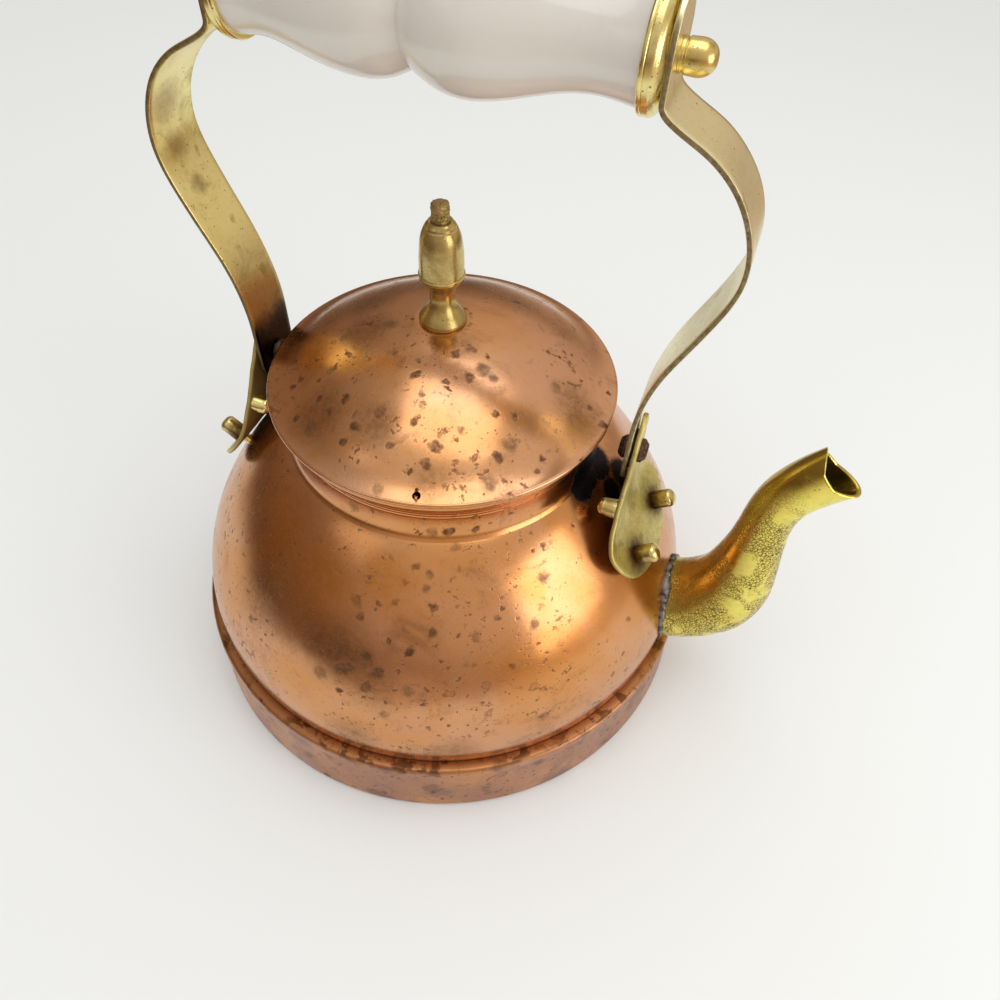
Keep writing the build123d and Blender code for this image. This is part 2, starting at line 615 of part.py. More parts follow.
# Grip: glazed porcelain with two swellings and a crease between them.
with BuildPart() as grip:
    with BuildSketch(Plane.XZ):
        with BuildLine():
            back_end = (-GRIP_HALF, GRIP_Z + GRIP_END_R)
            spout_end = (GRIP_HALF, GRIP_Z + GRIP_END_R)
            waist = (GRIP_WAIST_X, GRIP_Z + GRIP_WAIST_R)
            Spline(back_end, *[(back_end[0] + off, GRIP_Z + r) for off, r in GRIP_BACK_END],
                   *[(GRIP_WAIST_X - off, GRIP_Z + r) for off, r in GRIP_BACK_SWELL], waist)
            Spline(waist, *[(GRIP_WAIST_X + off, GRIP_Z + r) for off, r in GRIP_SPOUT_SWELL],
                   *[(spout_end[0] - off, GRIP_Z + r) for off, r in GRIP_SPOUT_END], spout_end)
            Polyline(spout_end, (GRIP_HALF, GRIP_Z + GRIP_BORE_R), (-GRIP_HALF, GRIP_Z + GRIP_BORE_R), back_end)
        make_face()
    revolve(axis=Axis((0, 0, GRIP_Z), (1, 0, 0)))
save(grip.part, "grip")

with BuildPart() as grip_rod:
    with BuildSketch(grip_axis_plane(0)):
        Circle(ROD_R)
    extrude(amount=STRAP_TOP_X + STRAP_T + ROD_IN_NUT, both=True)
save(grip_rod.part, "grip_rod")
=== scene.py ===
"""Dresses the copper tea kettle: hand-worn copper, brass fittings, porcelain grip, studio and camera."""

import logging
import math
from dataclasses import dataclass, field, replace
from enum import Enum
from typing import Any, Mapping, Optional, Sequence, Union

import bmesh
import bpy
import numpy as np
from mathutils import Matrix


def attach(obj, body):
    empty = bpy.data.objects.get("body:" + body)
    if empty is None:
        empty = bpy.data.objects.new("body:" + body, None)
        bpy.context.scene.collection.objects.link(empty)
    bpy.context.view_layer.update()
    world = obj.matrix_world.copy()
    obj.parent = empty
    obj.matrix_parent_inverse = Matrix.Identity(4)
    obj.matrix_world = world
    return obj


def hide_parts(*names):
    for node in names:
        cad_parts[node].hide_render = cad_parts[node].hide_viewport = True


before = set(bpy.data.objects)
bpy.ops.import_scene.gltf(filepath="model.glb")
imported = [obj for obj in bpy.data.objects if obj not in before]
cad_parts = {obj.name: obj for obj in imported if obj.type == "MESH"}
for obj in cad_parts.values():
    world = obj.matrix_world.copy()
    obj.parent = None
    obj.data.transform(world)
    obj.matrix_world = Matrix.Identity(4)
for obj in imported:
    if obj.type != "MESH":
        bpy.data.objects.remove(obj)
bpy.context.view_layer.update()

LOG = logging.getLogger("kettle")
Array = np.ndarray
Colour = tuple[float, float, float]
MM = 0.001


# Shapes as numpy grids, in millimetres


def spline(points: Sequence[Sequence[float]], count: int, start: Optional[Sequence[float]] = None,
           end: Optional[Sequence[float]] = None) -> Array:
    """Smooth line through points: one cubic per gap, by chord length, with matching slopes and curvature.

    Args:
        points: places to pass through, each a row of any number of columns.
        count: how many places to return.
        start: slope at the first place, or None for no curvature there.
        end: slope at the last place, or None for no curvature there.

    Returns:
        Array of count rows, evenly spaced along the chords.
    """
    knots = np.asarray(points, float)
    number = len(knots)
    gaps = np.linalg.norm(np.diff(knots[:, :2], axis=0), axis=1)
    along = np.concatenate([[0.0], np.cumsum(gaps)])
    system = np.zeros((number, number))
    right = np.zeros_like(knots)
    rise = np.diff(knots, axis=0) / gaps[:, None]
    inner = np.arange(1, number - 1)
    system[inner, inner - 1] = gaps[1:]
    system[inner, inner] = 2 * (gaps[:-1] + gaps[1:])
    system[inner, inner + 1] = gaps[:-1]
    right[inner] = 3 * (gaps[1:, None] * rise[:-1] + gaps[:-1, None] * rise[1:])
    system[0, :2], right[0] = ((1, 0), start) if start is not None else ((2, 1), 3 * rise[0])
    system[-1, -2:], right[-1] = ((0, 1), end) if end is not None else ((1, 2), 3 * rise[-1])
    slopes = np.linalg.solve(system, right)
    where = np.linspace(0, along[-1], count)
    part = np.clip(np.searchsorted(along, where) - 1, 0, number - 2)
    t = ((where - along[part]) / gaps[part])[:, None]
    gap = gaps[part][:, None]
    return ((1 + 2 * t) * (1 - t) ** 2 * knots[part] + t * (1 - t) ** 2 * gap * slopes[part]
            + t * t * (3 - 2 * t) * knots[part + 1] + t * t * (t - 1) * gap * slopes[part + 1])


def rounded(corners: Sequence[tuple[float, float, float]], steps: int = 6) -> Array:
    """Line of straight runs whose corners are arcs tangent to both runs.

    Args:
        corners: radius, height and rounding of each corner.
        steps: places on each arc.

    Returns:
        Array of places, two columns.
    """
    spots = np.array([corner[:2] for corner in corners], float)
    line: list[Array] = []
    for index, (_, _, rounding) in enumerate(corners):
        place = spots[index]
        if rounding <= 0 or index in (0, len(corners) - 1):
            line.append(place[None])
            continue
        back, on = spots[index - 1] - place, spots[index + 1] - place
        long_back, long_on = np.linalg.norm(back), np.linalg.norm(on)
        back, on = back / long_back, on / long_on
        half = 0.5 * math.acos(float(np.clip(back @ on, -1, 1)))
        cut = min(rounding / math.tan(half), 0.49 * long_back, 0.49 * long_on)
        size = cut * math.tan(half)
        middle = place + (back + on) / np.linalg.norm(back + on) * size / math.sin(half)
        first, last = place + back * cut - middle, place + on * cut - middle
        begin = math.atan2(first[1], first[0])
        turn = (math.atan2(last[1], last[0]) - begin + math.pi) % (2 * math.pi) - math.pi
        angle = begin + turn * np.linspace(0, 1, steps)
        line.append(middle + size * np.column_stack([np.cos(angle), np.sin(angle)]))
    return np.concatenate(line)


def divided(line: Array, step: float) -> Array:
    """The same line with more places, no further apart than step; its corners stay."""
    gaps = np.linalg.norm(np.diff(line, axis=0), axis=1)
    pieces = [start + (end - start) * np.linspace(0, 1, max(1, math.ceil(gap / step)), endpoint=False)[:, None]
              for start, end, gap in zip(line[:-1], line[1:], gaps)]
    return np.concatenate([*pieces, line[-1:]])


def ripple(points: Array, size: float, seed: int, waves: int = 28) -> Array:
    """Smooth noise between about -1 and 1: the sum of plane waves in random directions, near size long.

    Args:
        points: places, the last axis being x, y and z.
        size: usual wave length.
        seed: which noise.
        waves: how many waves are summed.

    Returns:
        One number for each place.
    """
    chance = np.random.default_rng(seed)
    ways = chance.normal(size=(waves, 3))
    ways /= np.linalg.norm(ways, axis=1, keepdims=True) * size * chance.uniform(0.6, 1.9, (waves, 1))
    phase = chance.uniform(0, 2 * math.pi, waves)
    return np.sin(points @ ways.T * 2 * math.pi + phase).sum(-1) * math.sqrt(2 / waves) / 1.8


class Axis(Enum):
    """The line that a turned piece is turned about."""

    UP = "z"
    ALONG = "x"


def turned(line: Array, columns: Union[int, Array], axis: Axis = Axis.UP,
           centre: Sequence[float] = (0, 0, 0)) -> Array:
    """Turns a side line round an axis: place (r, h) goes to (r cos a, r sin a, h) for each angle a.

    Args:
        line: radius and height of each place.
        columns: how many even angles make a full turn, or the angles themselves.
        axis: the line that it is turned about.
        centre: where radius and height are counted from.

    Returns:
        Grid of places: rows follow the line, columns the turn.
    """
    angle = np.linspace(0, 2 * math.pi, columns, endpoint=False) if isinstance(columns, int) else columns
    radius, height = line[:, :1], line[:, 1:2]
    ring = (radius * np.cos(angle), radius * np.sin(angle), height + 0 * angle)
    order = (0, 1, 2) if axis is Axis.UP else (2, 0, 1)
    return np.stack([ring[k] for k in order], axis=-1) + np.asarray(centre, float)


def aimed(grid: Array, origin: Sequence[float], forward: Sequence[float]) -> Array:
    """Moves a grid made round Z so that its Z points forward from an origin."""
    ahead = np.asarray(forward, float) / np.linalg.norm(forward)
    side = np.cross((0.0, 1.0, 0.0), ahead)
    side /= np.linalg.norm(side)
    return grid @ np.array([side, np.cross(ahead, side), ahead]) + np.asarray(origin, float)


def normals(grid: Array) -> Array:
    """Unit normals of a grid that is closed round its columns, from the cross product of its two slopes."""
    across = np.roll(grid, -1, axis=1) - np.roll(grid, 1, axis=1)
    along = np.gradient(grid, axis=0)
    square = np.cross(across, along)
    return square / np.maximum(np.linalg.norm(square, axis=-1, keepdims=True), 1e-9)


def strip(middle: Array, normal: Array, left: Array, right: Array, thickness: float, edge: float,
          across: int = 14) -> Array:
    """Flat bar along a line: each row is a loop of two flats joined by two half ellipses, edge deep.

    Args:
        middle: places along the bar's middle surface, at y = 0.
        normal: unit direction out of the bar's face at each place.
        left: y of one edge at each place.
        right: y of the other edge at each place.
        thickness: of the bar.
        edge: how deep the rounded edges are.
        across: places across each flat.

    Returns:
        Grid of places: rows follow the line, columns go round the section.
    """
    bow = np.linspace(math.pi / 2, -math.pi / 2, 7)[1:-1]
    flat = np.linspace(-1, 1, across)
    base = np.concatenate([flat, np.ones(5), -flat, -np.ones(5)])
    bulge = np.concatenate([0 * flat, np.cos(bow), 0 * flat, -np.cos(bow)])
    through = np.concatenate([0 * flat + 1, np.sin(bow), 0 * flat - 1, -np.sin(bow)])
    centre = (left + right)[:, None] / 2
    half = np.maximum((right - left)[:, None] / 2 - edge, 0.02)
    grid = middle[:, None, :] + normal[:, None, :] * (through * thickness / 2)[None, :, None]
    grid[..., 1] += centre + base * half + bulge * np.minimum(edge, (right - left)[:, None] / 2)
    return grid


def closed_ends(grid: Array) -> Array:
    """Adds a row at each end with every place at the end row's centre, which closes the piece."""
    first, last = grid[:1].mean(axis=1, keepdims=True), grid[-1:].mean(axis=1, keepdims=True)
    return np.concatenate([np.broadcast_to(first, grid[:1].shape), grid, np.broadcast_to(last, grid[:1].shape)])


# Shader maths

Feed = Union["Value", bpy.types.NodeSocket, float, Sequence[float]]


class Value:
    """A number in a material. Arithmetic on it adds Math nodes."""

    def __init__(self, graph: "Graph", socket: bpy.types.NodeSocket) -> None:
        """Wraps a socket of a graph."""
        self.graph = graph
        self.socket = socket

    def _with(self, operation: str, first: Feed, second: Feed) -> "Value":
        """Adds one Math node."""
        node = self.graph.add("ShaderNodeMath", {"operation": operation}, {0: first, 1: second})
        return Value(self.graph, node.outputs[0])

    def __add__(self, other: Feed) -> "Value":
        """Sum."""
        return self._with("ADD", self, other)

    def __sub__(self, other: Feed) -> "Value":
        """Difference."""
        return self._with("SUBTRACT", self, other)

    def __rsub__(self, other: Feed) -> "Value":
        """Difference from the other."""
        return self._with("SUBTRACT", other, self)

    def __mul__(self, other: Feed) -> "Value":
        """Product."""
        return self._with("MULTIPLY", self, other)

    def __truediv__(self, other: Feed) -> "Value":
        """Quotient."""
        return self._with("DIVIDE", self, other)

    def __pow__(self, other: Feed) -> "Value":
        """Power."""
        return self._with("POWER", self, other)

    def __or__(self, other: Feed) -> "Value":
        """The larger of the two."""
        return self._with("MAXIMUM", self, other)

    __radd__ = __add__
    __rmul__ = __mul__

    def rise(self, low: Feed, high: Feed) -> "Value":
        """Smooth step: 0 below low, 1 above high."""
        settings = {"interpolation_type": "SMOOTHSTEP"}
        node = self.graph.add("ShaderNodeMapRange", settings, {"Value": self, "From Min": low, "From Max": high})
        return Value(self.graph, node.outputs[0])


class Graph:
    """The nodes of one material."""

    def __init__(self, tree: bpy.types.NodeTree) -> None:
        """Starts with an empty tree."""
        self.tree = tree
        tree.nodes.clear()

    def add(self, kind: str, settings: Optional[Mapping[str, Any]] = None,
            inputs: Optional[Mapping[Union[str, int], Feed]] = None) -> bpy.types.Node:
        """Adds a node.

        Args:
            kind: the node's type.
            settings: its own settings; "stops" is a ramp's list of place and colour.
            inputs: values or links of its sockets, by name or number.

        Returns:
            The node.
        """
        node = self.tree.nodes.new(kind)
        for key, value in (settings or {}).items():
            if key == "stops":
                ramp = node.color_ramp
                while len(ramp.elements) < len(value):
                    ramp.elements.new(0.5)
                for element, (place, colour) in zip(ramp.elements, value):
                    element.position = place
                    element.color = (*colour, 1.0)
            else:
                setattr(node, key, value)
        for key, value in (inputs or {}).items():
            if isinstance(value, Value):
                self.tree.links.new(value.socket, node.inputs[key])
            elif isinstance(value, bpy.types.NodeSocket):
                self.tree.links.new(value, node.inputs[key])
            else:
                node.inputs[key].default_value = value
        return node

    def place(self) -> bpy.types.NodeSocket:
        """Object coordinates in millimetres."""
        here = self.add("ShaderNodeTexCoord")
        return self.vector("MULTIPLY", here.outputs["Object"], (1 / MM,) * 3)

    def vector(self, operation: str, first: Feed, second: Feed) -> bpy.types.NodeSocket:
        """One Vector Math node."""
        return self.add("ShaderNodeVectorMath", {"operation": operation}, {0: first, 1: second}).outputs[0]

    def parts(self, where: Feed) -> tuple["Value", "Value", "Value"]:
        """The three numbers of a vector."""
        node = self.add("ShaderNodeSeparateXYZ", inputs={0: where})
        return tuple(Value(self, socket) for socket in node.outputs)

    def facing(self) -> tuple["Value", "Value", "Value"]:
        """The three numbers of the surface's own direction, in the object's space."""
        return self.parts(self.add("ShaderNodeTexCoord").outputs["Normal"])

    def away(self, where: Feed, centre: Sequence[float]) -> "Value":
        """Distance from a centre, in millimetres."""
        node = self.add("ShaderNodeVectorMath", {"operation": "DISTANCE"}, {0: where, 1: tuple(centre)})
        return Value(self, node.outputs["Value"])

    def pebbles(self, where: Feed, cell: float, low: float, high: float) -> "Value":
        """Network of thin lines between cells: 1 on a line and 0 inside a cell."""
        cells = self.add("ShaderNodeTexVoronoi", {"feature": "DISTANCE_TO_EDGE"}, {"Vector": where, "Scale": 1 / cell})
        return 1 - Value(self, cells.outputs["Distance"]).rise(low, high)

    def noise(self, where: Feed, size: float, detail: float = 3.0, rough: float = 0.5, swirl: float = 0.0) -> Value:
        """Noise of a size in millimetres, near 0.5 on average."""
        node = self.add("ShaderNodeTexNoise", inputs={"Vector": where, "Scale": 1 / size, "Detail": detail,
                                                      "Roughness": rough, "Distortion": swirl})
        return Value(self, node.outputs[0])

    def warped(self, where: Feed, size: float, reach: float) -> bpy.types.NodeSocket:
        """Shifts places by up to about reach, by noise of a size."""
        node = self.add("ShaderNodeTexNoise", inputs={"Vector": where, "Scale": 1 / size, "Detail": 2.0})
        shift = self.vector("SUBTRACT", node.outputs["Color"], (0.5, 0.5, 0.5))
        return self.vector("ADD", where, self.vector("MULTIPLY", shift, (reach * 4,) * 3))

    def spots(self, where: Feed, cell: float, small: float, large: float, share: float, edge: float = 0.15) -> Value:
        """Mask of separate spots: some Voronoi cells hold one, each with its own radius.

        Args:
            where: places in millimetres.
            cell: distance between cells.
            small: least radius.
            large: greatest radius.
            share: how many of the cells hold a spot.
            edge: softness of the rim, as a share of the radius.

        Returns:
            1 in a spot and 0 between them.
        """
        cells = self.add("ShaderNodeTexVoronoi", inputs={"Vector": where, "Scale": 1 / cell})
        chance = self.add("ShaderNodeSeparateColor", inputs={0: cells.outputs["Color"]})
        size = Value(self, chance.outputs[0]) ** 2 * ((large - small) / cell) + small / cell
        present = Value(self, chance.outputs[1]).rise(0.99 - share, 1.0 - share)
        return (1 - (Value(self, cells.outputs["Distance"]) / size).rise(1 - edge, 1 + edge)) * present

    def mix(self, share: Feed, first: Feed, second: Feed) -> bpy.types.NodeSocket:
        """Colour between two, by share."""
        colours = {6: self._colour(first), 7: self._colour(second)}
        node = self.add("ShaderNodeMix", {"data_type": "RGBA"}, {0: share, **colours})
        return node.outputs[2]

    @staticmethod
    def _colour(value: Feed) -> Feed:
        """A plain colour with its alpha; a link stays as it is."""
        return (*value, 1.0) if isinstance(value, tuple) else value

    def bump(self, height: Value, depth: float, below: Optional[bpy.types.NodeSocket] = None) -> bpy.types.NodeSocket:
        """Normal of a relief, depth in millimetres for heights 0 to 1."""
        inputs: dict[Union[str, int], Feed] = {"Height": height, "Distance": depth * MM, "Strength": 1.0}
        if below is not None:
            inputs["Normal"] = below
        return self.add("ShaderNodeBump", {}, inputs).outputs[0]

    def rings(self, where: Feed, size: float) -> Value:
        """Fine turning marks round the kettle's axis: noise of radius and height only."""
        x, y, z = self.parts(where)
        radius = (x * x + y * y) ** 0.5
        line = self.add("ShaderNodeCombineXYZ", inputs={0: radius, 1: z, 2: 0.0})
        return self.noise(line.outputs[0], size, 4.0, 0.6)

    def scratches(self, where: Feed, turn: Sequence[float], fine: float, long: float) -> Value:
        """Thin straight marks: noise stretched along one direction and cut to its ridges."""
        laid = self.add("ShaderNodeMapping", {"vector_type": "TEXTURE"},
                        {"Vector": where, "Rotation": tuple(turn), "Scale": (long, fine, fine)})
        grain = self.noise(laid.outputs[0], 1.0, 2.0, 0.5, 0.3)
        return grain.rise(0.60, 0.68)

    def surface(self, inputs: Mapping[Union[str, int], Feed]) -> None:
        """The closing Principled node and the output."""
        node = self.add("ShaderNodeBsdfPrincipled", {}, {k: self._colour(v) for k, v in inputs.items()})
        self.add("ShaderNodeOutputMaterial", {}, {"Surface": node.outputs[0]})


# Finishes


@dataclass(frozen=True)
class Finish:
    """A finish: what it is called and how its nodes are laid."""

    name: str

    def lay(self, graph: Graph) -> None:
        """Builds the nodes; each kind of finish has its own."""
        raise NotImplementedError

    def material(self) -> bpy.types.Material:
        """The finish's material, made on first use."""
        found = bpy.data.materials.get(self.name)
        if found is None:
            found = bpy.data.materials.new(self.name)
            found.use_nodes = True
            self.lay(Graph(found.node_tree))
        return found


class Tone(Enum):
    """What a stain or a painted shade patch on the copper looks like: colour, how much it hides, and where its rim
    starts and ends.
    """

    DARK = ((0.095, 0.038, 0.020), 0.90, 0.58, 1.22)
    GREY = ((0.16, 0.085, 0.048), 0.80, 0.48, 1.30)
    OLIVE = ((0.15, 0.085, 0.030), 0.62, 0.50, 1.30)
    RING = ((0.15, 0.075, 0.045), 0.60, 0.70, 1.20)
    CLOUD = ((0.26, 0.12, 0.05), 0.60, 0.20, 1.40)
    GOLD = ((0.60, 0.24, 0.045), 0.85, 0.10, 1.50)
    # Painted shade and painted dark reflection: near-black patches beside the bracket plates.
    SOOT = ((0.010, 0.008, 0.014), 1.60, 0.60, 1.15)


@dataclass(frozen=True)
class Stain:
    """One stain: bearing in degrees, height on the vessel or radius on the lid, size as a radius, and tone."""

    bearing: float
    reach: float
    size: float
    tone: Tone = Tone.DARK

    def placed(self, side: Array, on_lid: bool) -> tuple[Colour, float, Tone]:
        """Centre of the stain on a turned piece with this side line, with its size and tone."""
        if on_lid:
            radius, height = self.reach, float(np.interp(self.reach, side[:, 0], side[:, 1]))
        else:
            radius, height = float(np.interp(self.reach, side[:, 1], side[:, 0])), self.reach
        angle = math.radians(self.bearing)
        return (radius * math.cos(angle), radius * math.sin(angle), height), self.size, self.tone


@dataclass(frozen=True)
class Copper(Finish):
    """Worn copper: warm polish, brown film, stains and painted shade patches at their places, scattered spots, pits
    and turning marks.
    """

    clean: Colour = (0.69, 0.345, 0.165)
    golden: Colour = (0.66, 0.29, 0.09)
    pink: Colour = (0.66, 0.345, 0.205)
    film_colour: Colour = (0.27, 0.115, 0.045)
    spot_colour: Colour = (0.095, 0.038, 0.020)
    spot_brown: Colour = (0.19, 0.085, 0.045)
    smear_colour: Colour = (0.22, 0.105, 0.06)
    tarnish_colour: Colour = (0.36, 0.175, 0.11)
    patch_colour: Colour = (0.27, 0.15, 0.105)
    burnt_and_shade_colour: Colour = (0.16, 0.060, 0.045)
    rubbed_colour: Colour = (0.40, 0.175, 0.065)
    rubbed_film: Colour = (0.20, 0.080, 0.032)
    rust_colour: Colour = (0.10, 0.040, 0.018)
    crease_dirt_and_shade_colour: Colour = (0.22, 0.10, 0.045)
    film: float = 0.55
    spot_share: float = 0.5
    specks: float = 1.0
    tarnish: float = 0.0
    polish: float = 0.15
    turning: float = 0.004
    groove: float = 0.0
    bright_above: float = 0.0
    stains: tuple = ()

    def stained(self, graph: Graph, where: Feed, calm: Feed, mottle: Value, colour: Feed) -> tuple[Feed, Value]:
        """Lays the stains and the painted shade patches over a colour, one tone after the other.

        Args:
            graph: the material's nodes.
            where: places, shifted so that the rims are ragged.
            calm: places that are hardly shifted, for the painted shade patches.
            mottle: fine noise that breaks the stains up inside.
            colour: what they lie on.

        Returns:
            The stained colour, and how much of it the dark stains and the painted shade hide.
        """
        hidden = mottle * 0.0
        for tone in Tone:
            tint, strength, inner, outer = tone.value
            cover: Optional[Value] = None
            for centre, size, kind in self.stains:
                if kind is tone:
                    gone = graph.away(calm if tone is Tone.SOOT else where, centre)
                    spot = 1 - gone.rise(size * inner, size * outer)
                    if tone is Tone.RING:
                        spot = spot * (0.35 + gone.rise(size * 0.35, size * 0.85) * 0.65)
                    cover = spot if cover is None else cover | spot
            if cover is not None:
                cover = cover * (0.58 + mottle.rise(0.36, 0.60) * 0.44) * strength
                colour = graph.mix(cover, colour, tint)
                if tone not in (Tone.CLOUD, Tone.GOLD):
                    hidden = hidden | cover
        return colour, hidden

    def lay(self, graph: Graph) -> None:
        """Colour from film, stains, painted shade patches and spots; the same masks roughen the surface and press it
        in.
        """
        place = graph.place()
        ragged = graph.warped(graph.warped(place, 3.6, 0.9), 1.1, 0.26)
        clusters = graph.noise(place, 30, 2.0)
        start = 0.650 - 0.08 * self.spot_share
        large = graph.noise(place, 4.4, 6.0, 0.62, 0.3).rise(start, start + 0.045) * clusters.rise(0.40, 0.50)
        middle = graph.spots(ragged, 2.7, 0.12, 0.75, 0.8 * self.specks, 0.35) * clusters.rise(0.40, 0.52)
        shaken = graph.warped(place, 0.7, 0.15)
        small = graph.spots(shaken, 1.3, 0.06, 0.32, 0.7 * self.specks, 0.3) * clusters.rise(0.38, 0.55)
        pits = graph.spots(place, 0.8, 0.04, 0.15, 0.6 * self.specks) * graph.noise(place, 11, 3.0).rise(0.47, 0.62)
        mottle = graph.noise(place, 1.7, 5.0, 0.7)
        blotch = graph.noise(place, 17, 7.0, 0.66, 0.7)
        film = blotch.rise(0.50, 0.70) * graph.noise(place, 44, 2.0).rise(0.36, 0.60)
        smear = graph.noise(ragged, 6.5, 6.0, 0.68, 0.4).rise(0.56, 0.68) * clusters.rise(0.44, 0.60)
        warm = graph.noise(place, 36, 3.0, 0.5, 0.8)

        colour = graph.mix(warm.rise(0.35, 0.65), self.clean, self.golden)
        colour = graph.mix(graph.noise(place, 52, 3.0, 0.5).rise(0.45, 0.70) * 0.8, colour, self.pink)
        colour = graph.mix((film * (0.55 + mottle * 0.9)) * self.film, colour, self.film_colour)
        colour = graph.mix(mottle.rise(0.56, 0.76) * 0.30, colour, self.film_colour)
        colour = graph.mix(smear * self.film, colour, self.smear_colour)
        if self.tarnish:
            stain = graph.noise(place, 30, 5.0, 0.6, 0.4).rise(0.30, 0.62) * self.tarnish
            colour = graph.mix(stain, colour, self.tarnish_colour)
            patch = graph.noise(place, 17, 4.0, 0.6).rise(0.52, 0.66) * self.tarnish
            colour = graph.mix(patch, colour, self.patch_colour)
            burnt_and_shaded = graph.noise(place, 12, 5.0, 0.62).rise(0.53, 0.62) * self.tarnish
            colour = graph.mix(burnt_and_shaded * 0.8, colour, self.burnt_and_shade_colour)
        if self.bright_above:
            _, _, high = graph.parts(place)
            rubbed = high.rise(self.bright_above, self.bright_above + 0.7)
            colour = graph.mix(rubbed * 0.85, colour, graph.mix(film, self.rubbed_colour, self.rubbed_film))
            streaks = graph.noise(place, 5.5, 5.0, 0.62, 0.4).rise(0.50, 0.58) * clusters.rise(0.38, 0.52)
            colour = graph.mix(streaks * rubbed * 0.85, colour, self.rust_colour)
        colour, hidden = self.stained(graph, ragged, graph.warped(place, 5.0, 0.3), mottle, colour)
        broken = mottle.rise(0.38, 0.60)
        dark = (large * (0.42 + broken * 0.45)) | (middle * (0.40 + broken * 0.50)) | (small * 0.8) | (pits * 0.85)
        dark = dark * (1 - hidden * 0.9)
        colour = graph.mix(dark, colour, graph.mix(mottle.rise(0.42, 0.60), self.spot_colour, self.spot_brown))
        dark = dark | hidden
        roughness = self.polish + graph.noise(place, 14, 3.0) * 0.12 + film * 0.10 + dark * 0.16 + self.tarnish * 0.08
        # Dirt and painted shade: a darker band in the crease just above the ledge.
        if self.groove:
            _, _, z = graph.parts(place)
            crease_dirt_and_shade = 1 - (z - self.groove - graph.noise(place, 7, 5.0, 0.65) * 2.6).rise(-1.9, 0.2)
            colour = graph.mix(crease_dirt_and_shade * 0.62, colour, self.crease_dirt_and_shade_colour)
            roughness = roughness + crease_dirt_and_shade * 0.2
        lines = (graph.scratches(place, (0.3, 0.5, 0.9), 0.35, 22) | graph.scratches(place, (1.1, -0.4, 2.2), 0.3, 16))
        normal = graph.bump(graph.noise(place, 7, 2.0), 0.02)
        normal = graph.bump(1 - dark, 0.03, normal)
        normal = graph.bump(lines, 0.0016, normal)
        if self.turning:
            normal = graph.bump(graph.rings(place, 0.9), self.turning, normal)
        graph.surface({"Base Color": colour, "Metallic": 1 - dark * 0.10, "Roughness": roughness + lines * 0.05,
                       "Normal": normal, "Coat Weight": 0.06, "Coat Roughness": 0.15})


class Face(Enum):
    """Which faces of a brass piece are coloured apart by their direction: INNER gets tarnish and painted shade on the
    face turned to the body, EDGES are darker on the side edges, UPPER gets painted shade on the faces turned up and
    towards the body.
    """

    NONE = 0
    INNER = 1
    EDGES = 2
    UPPER = 3


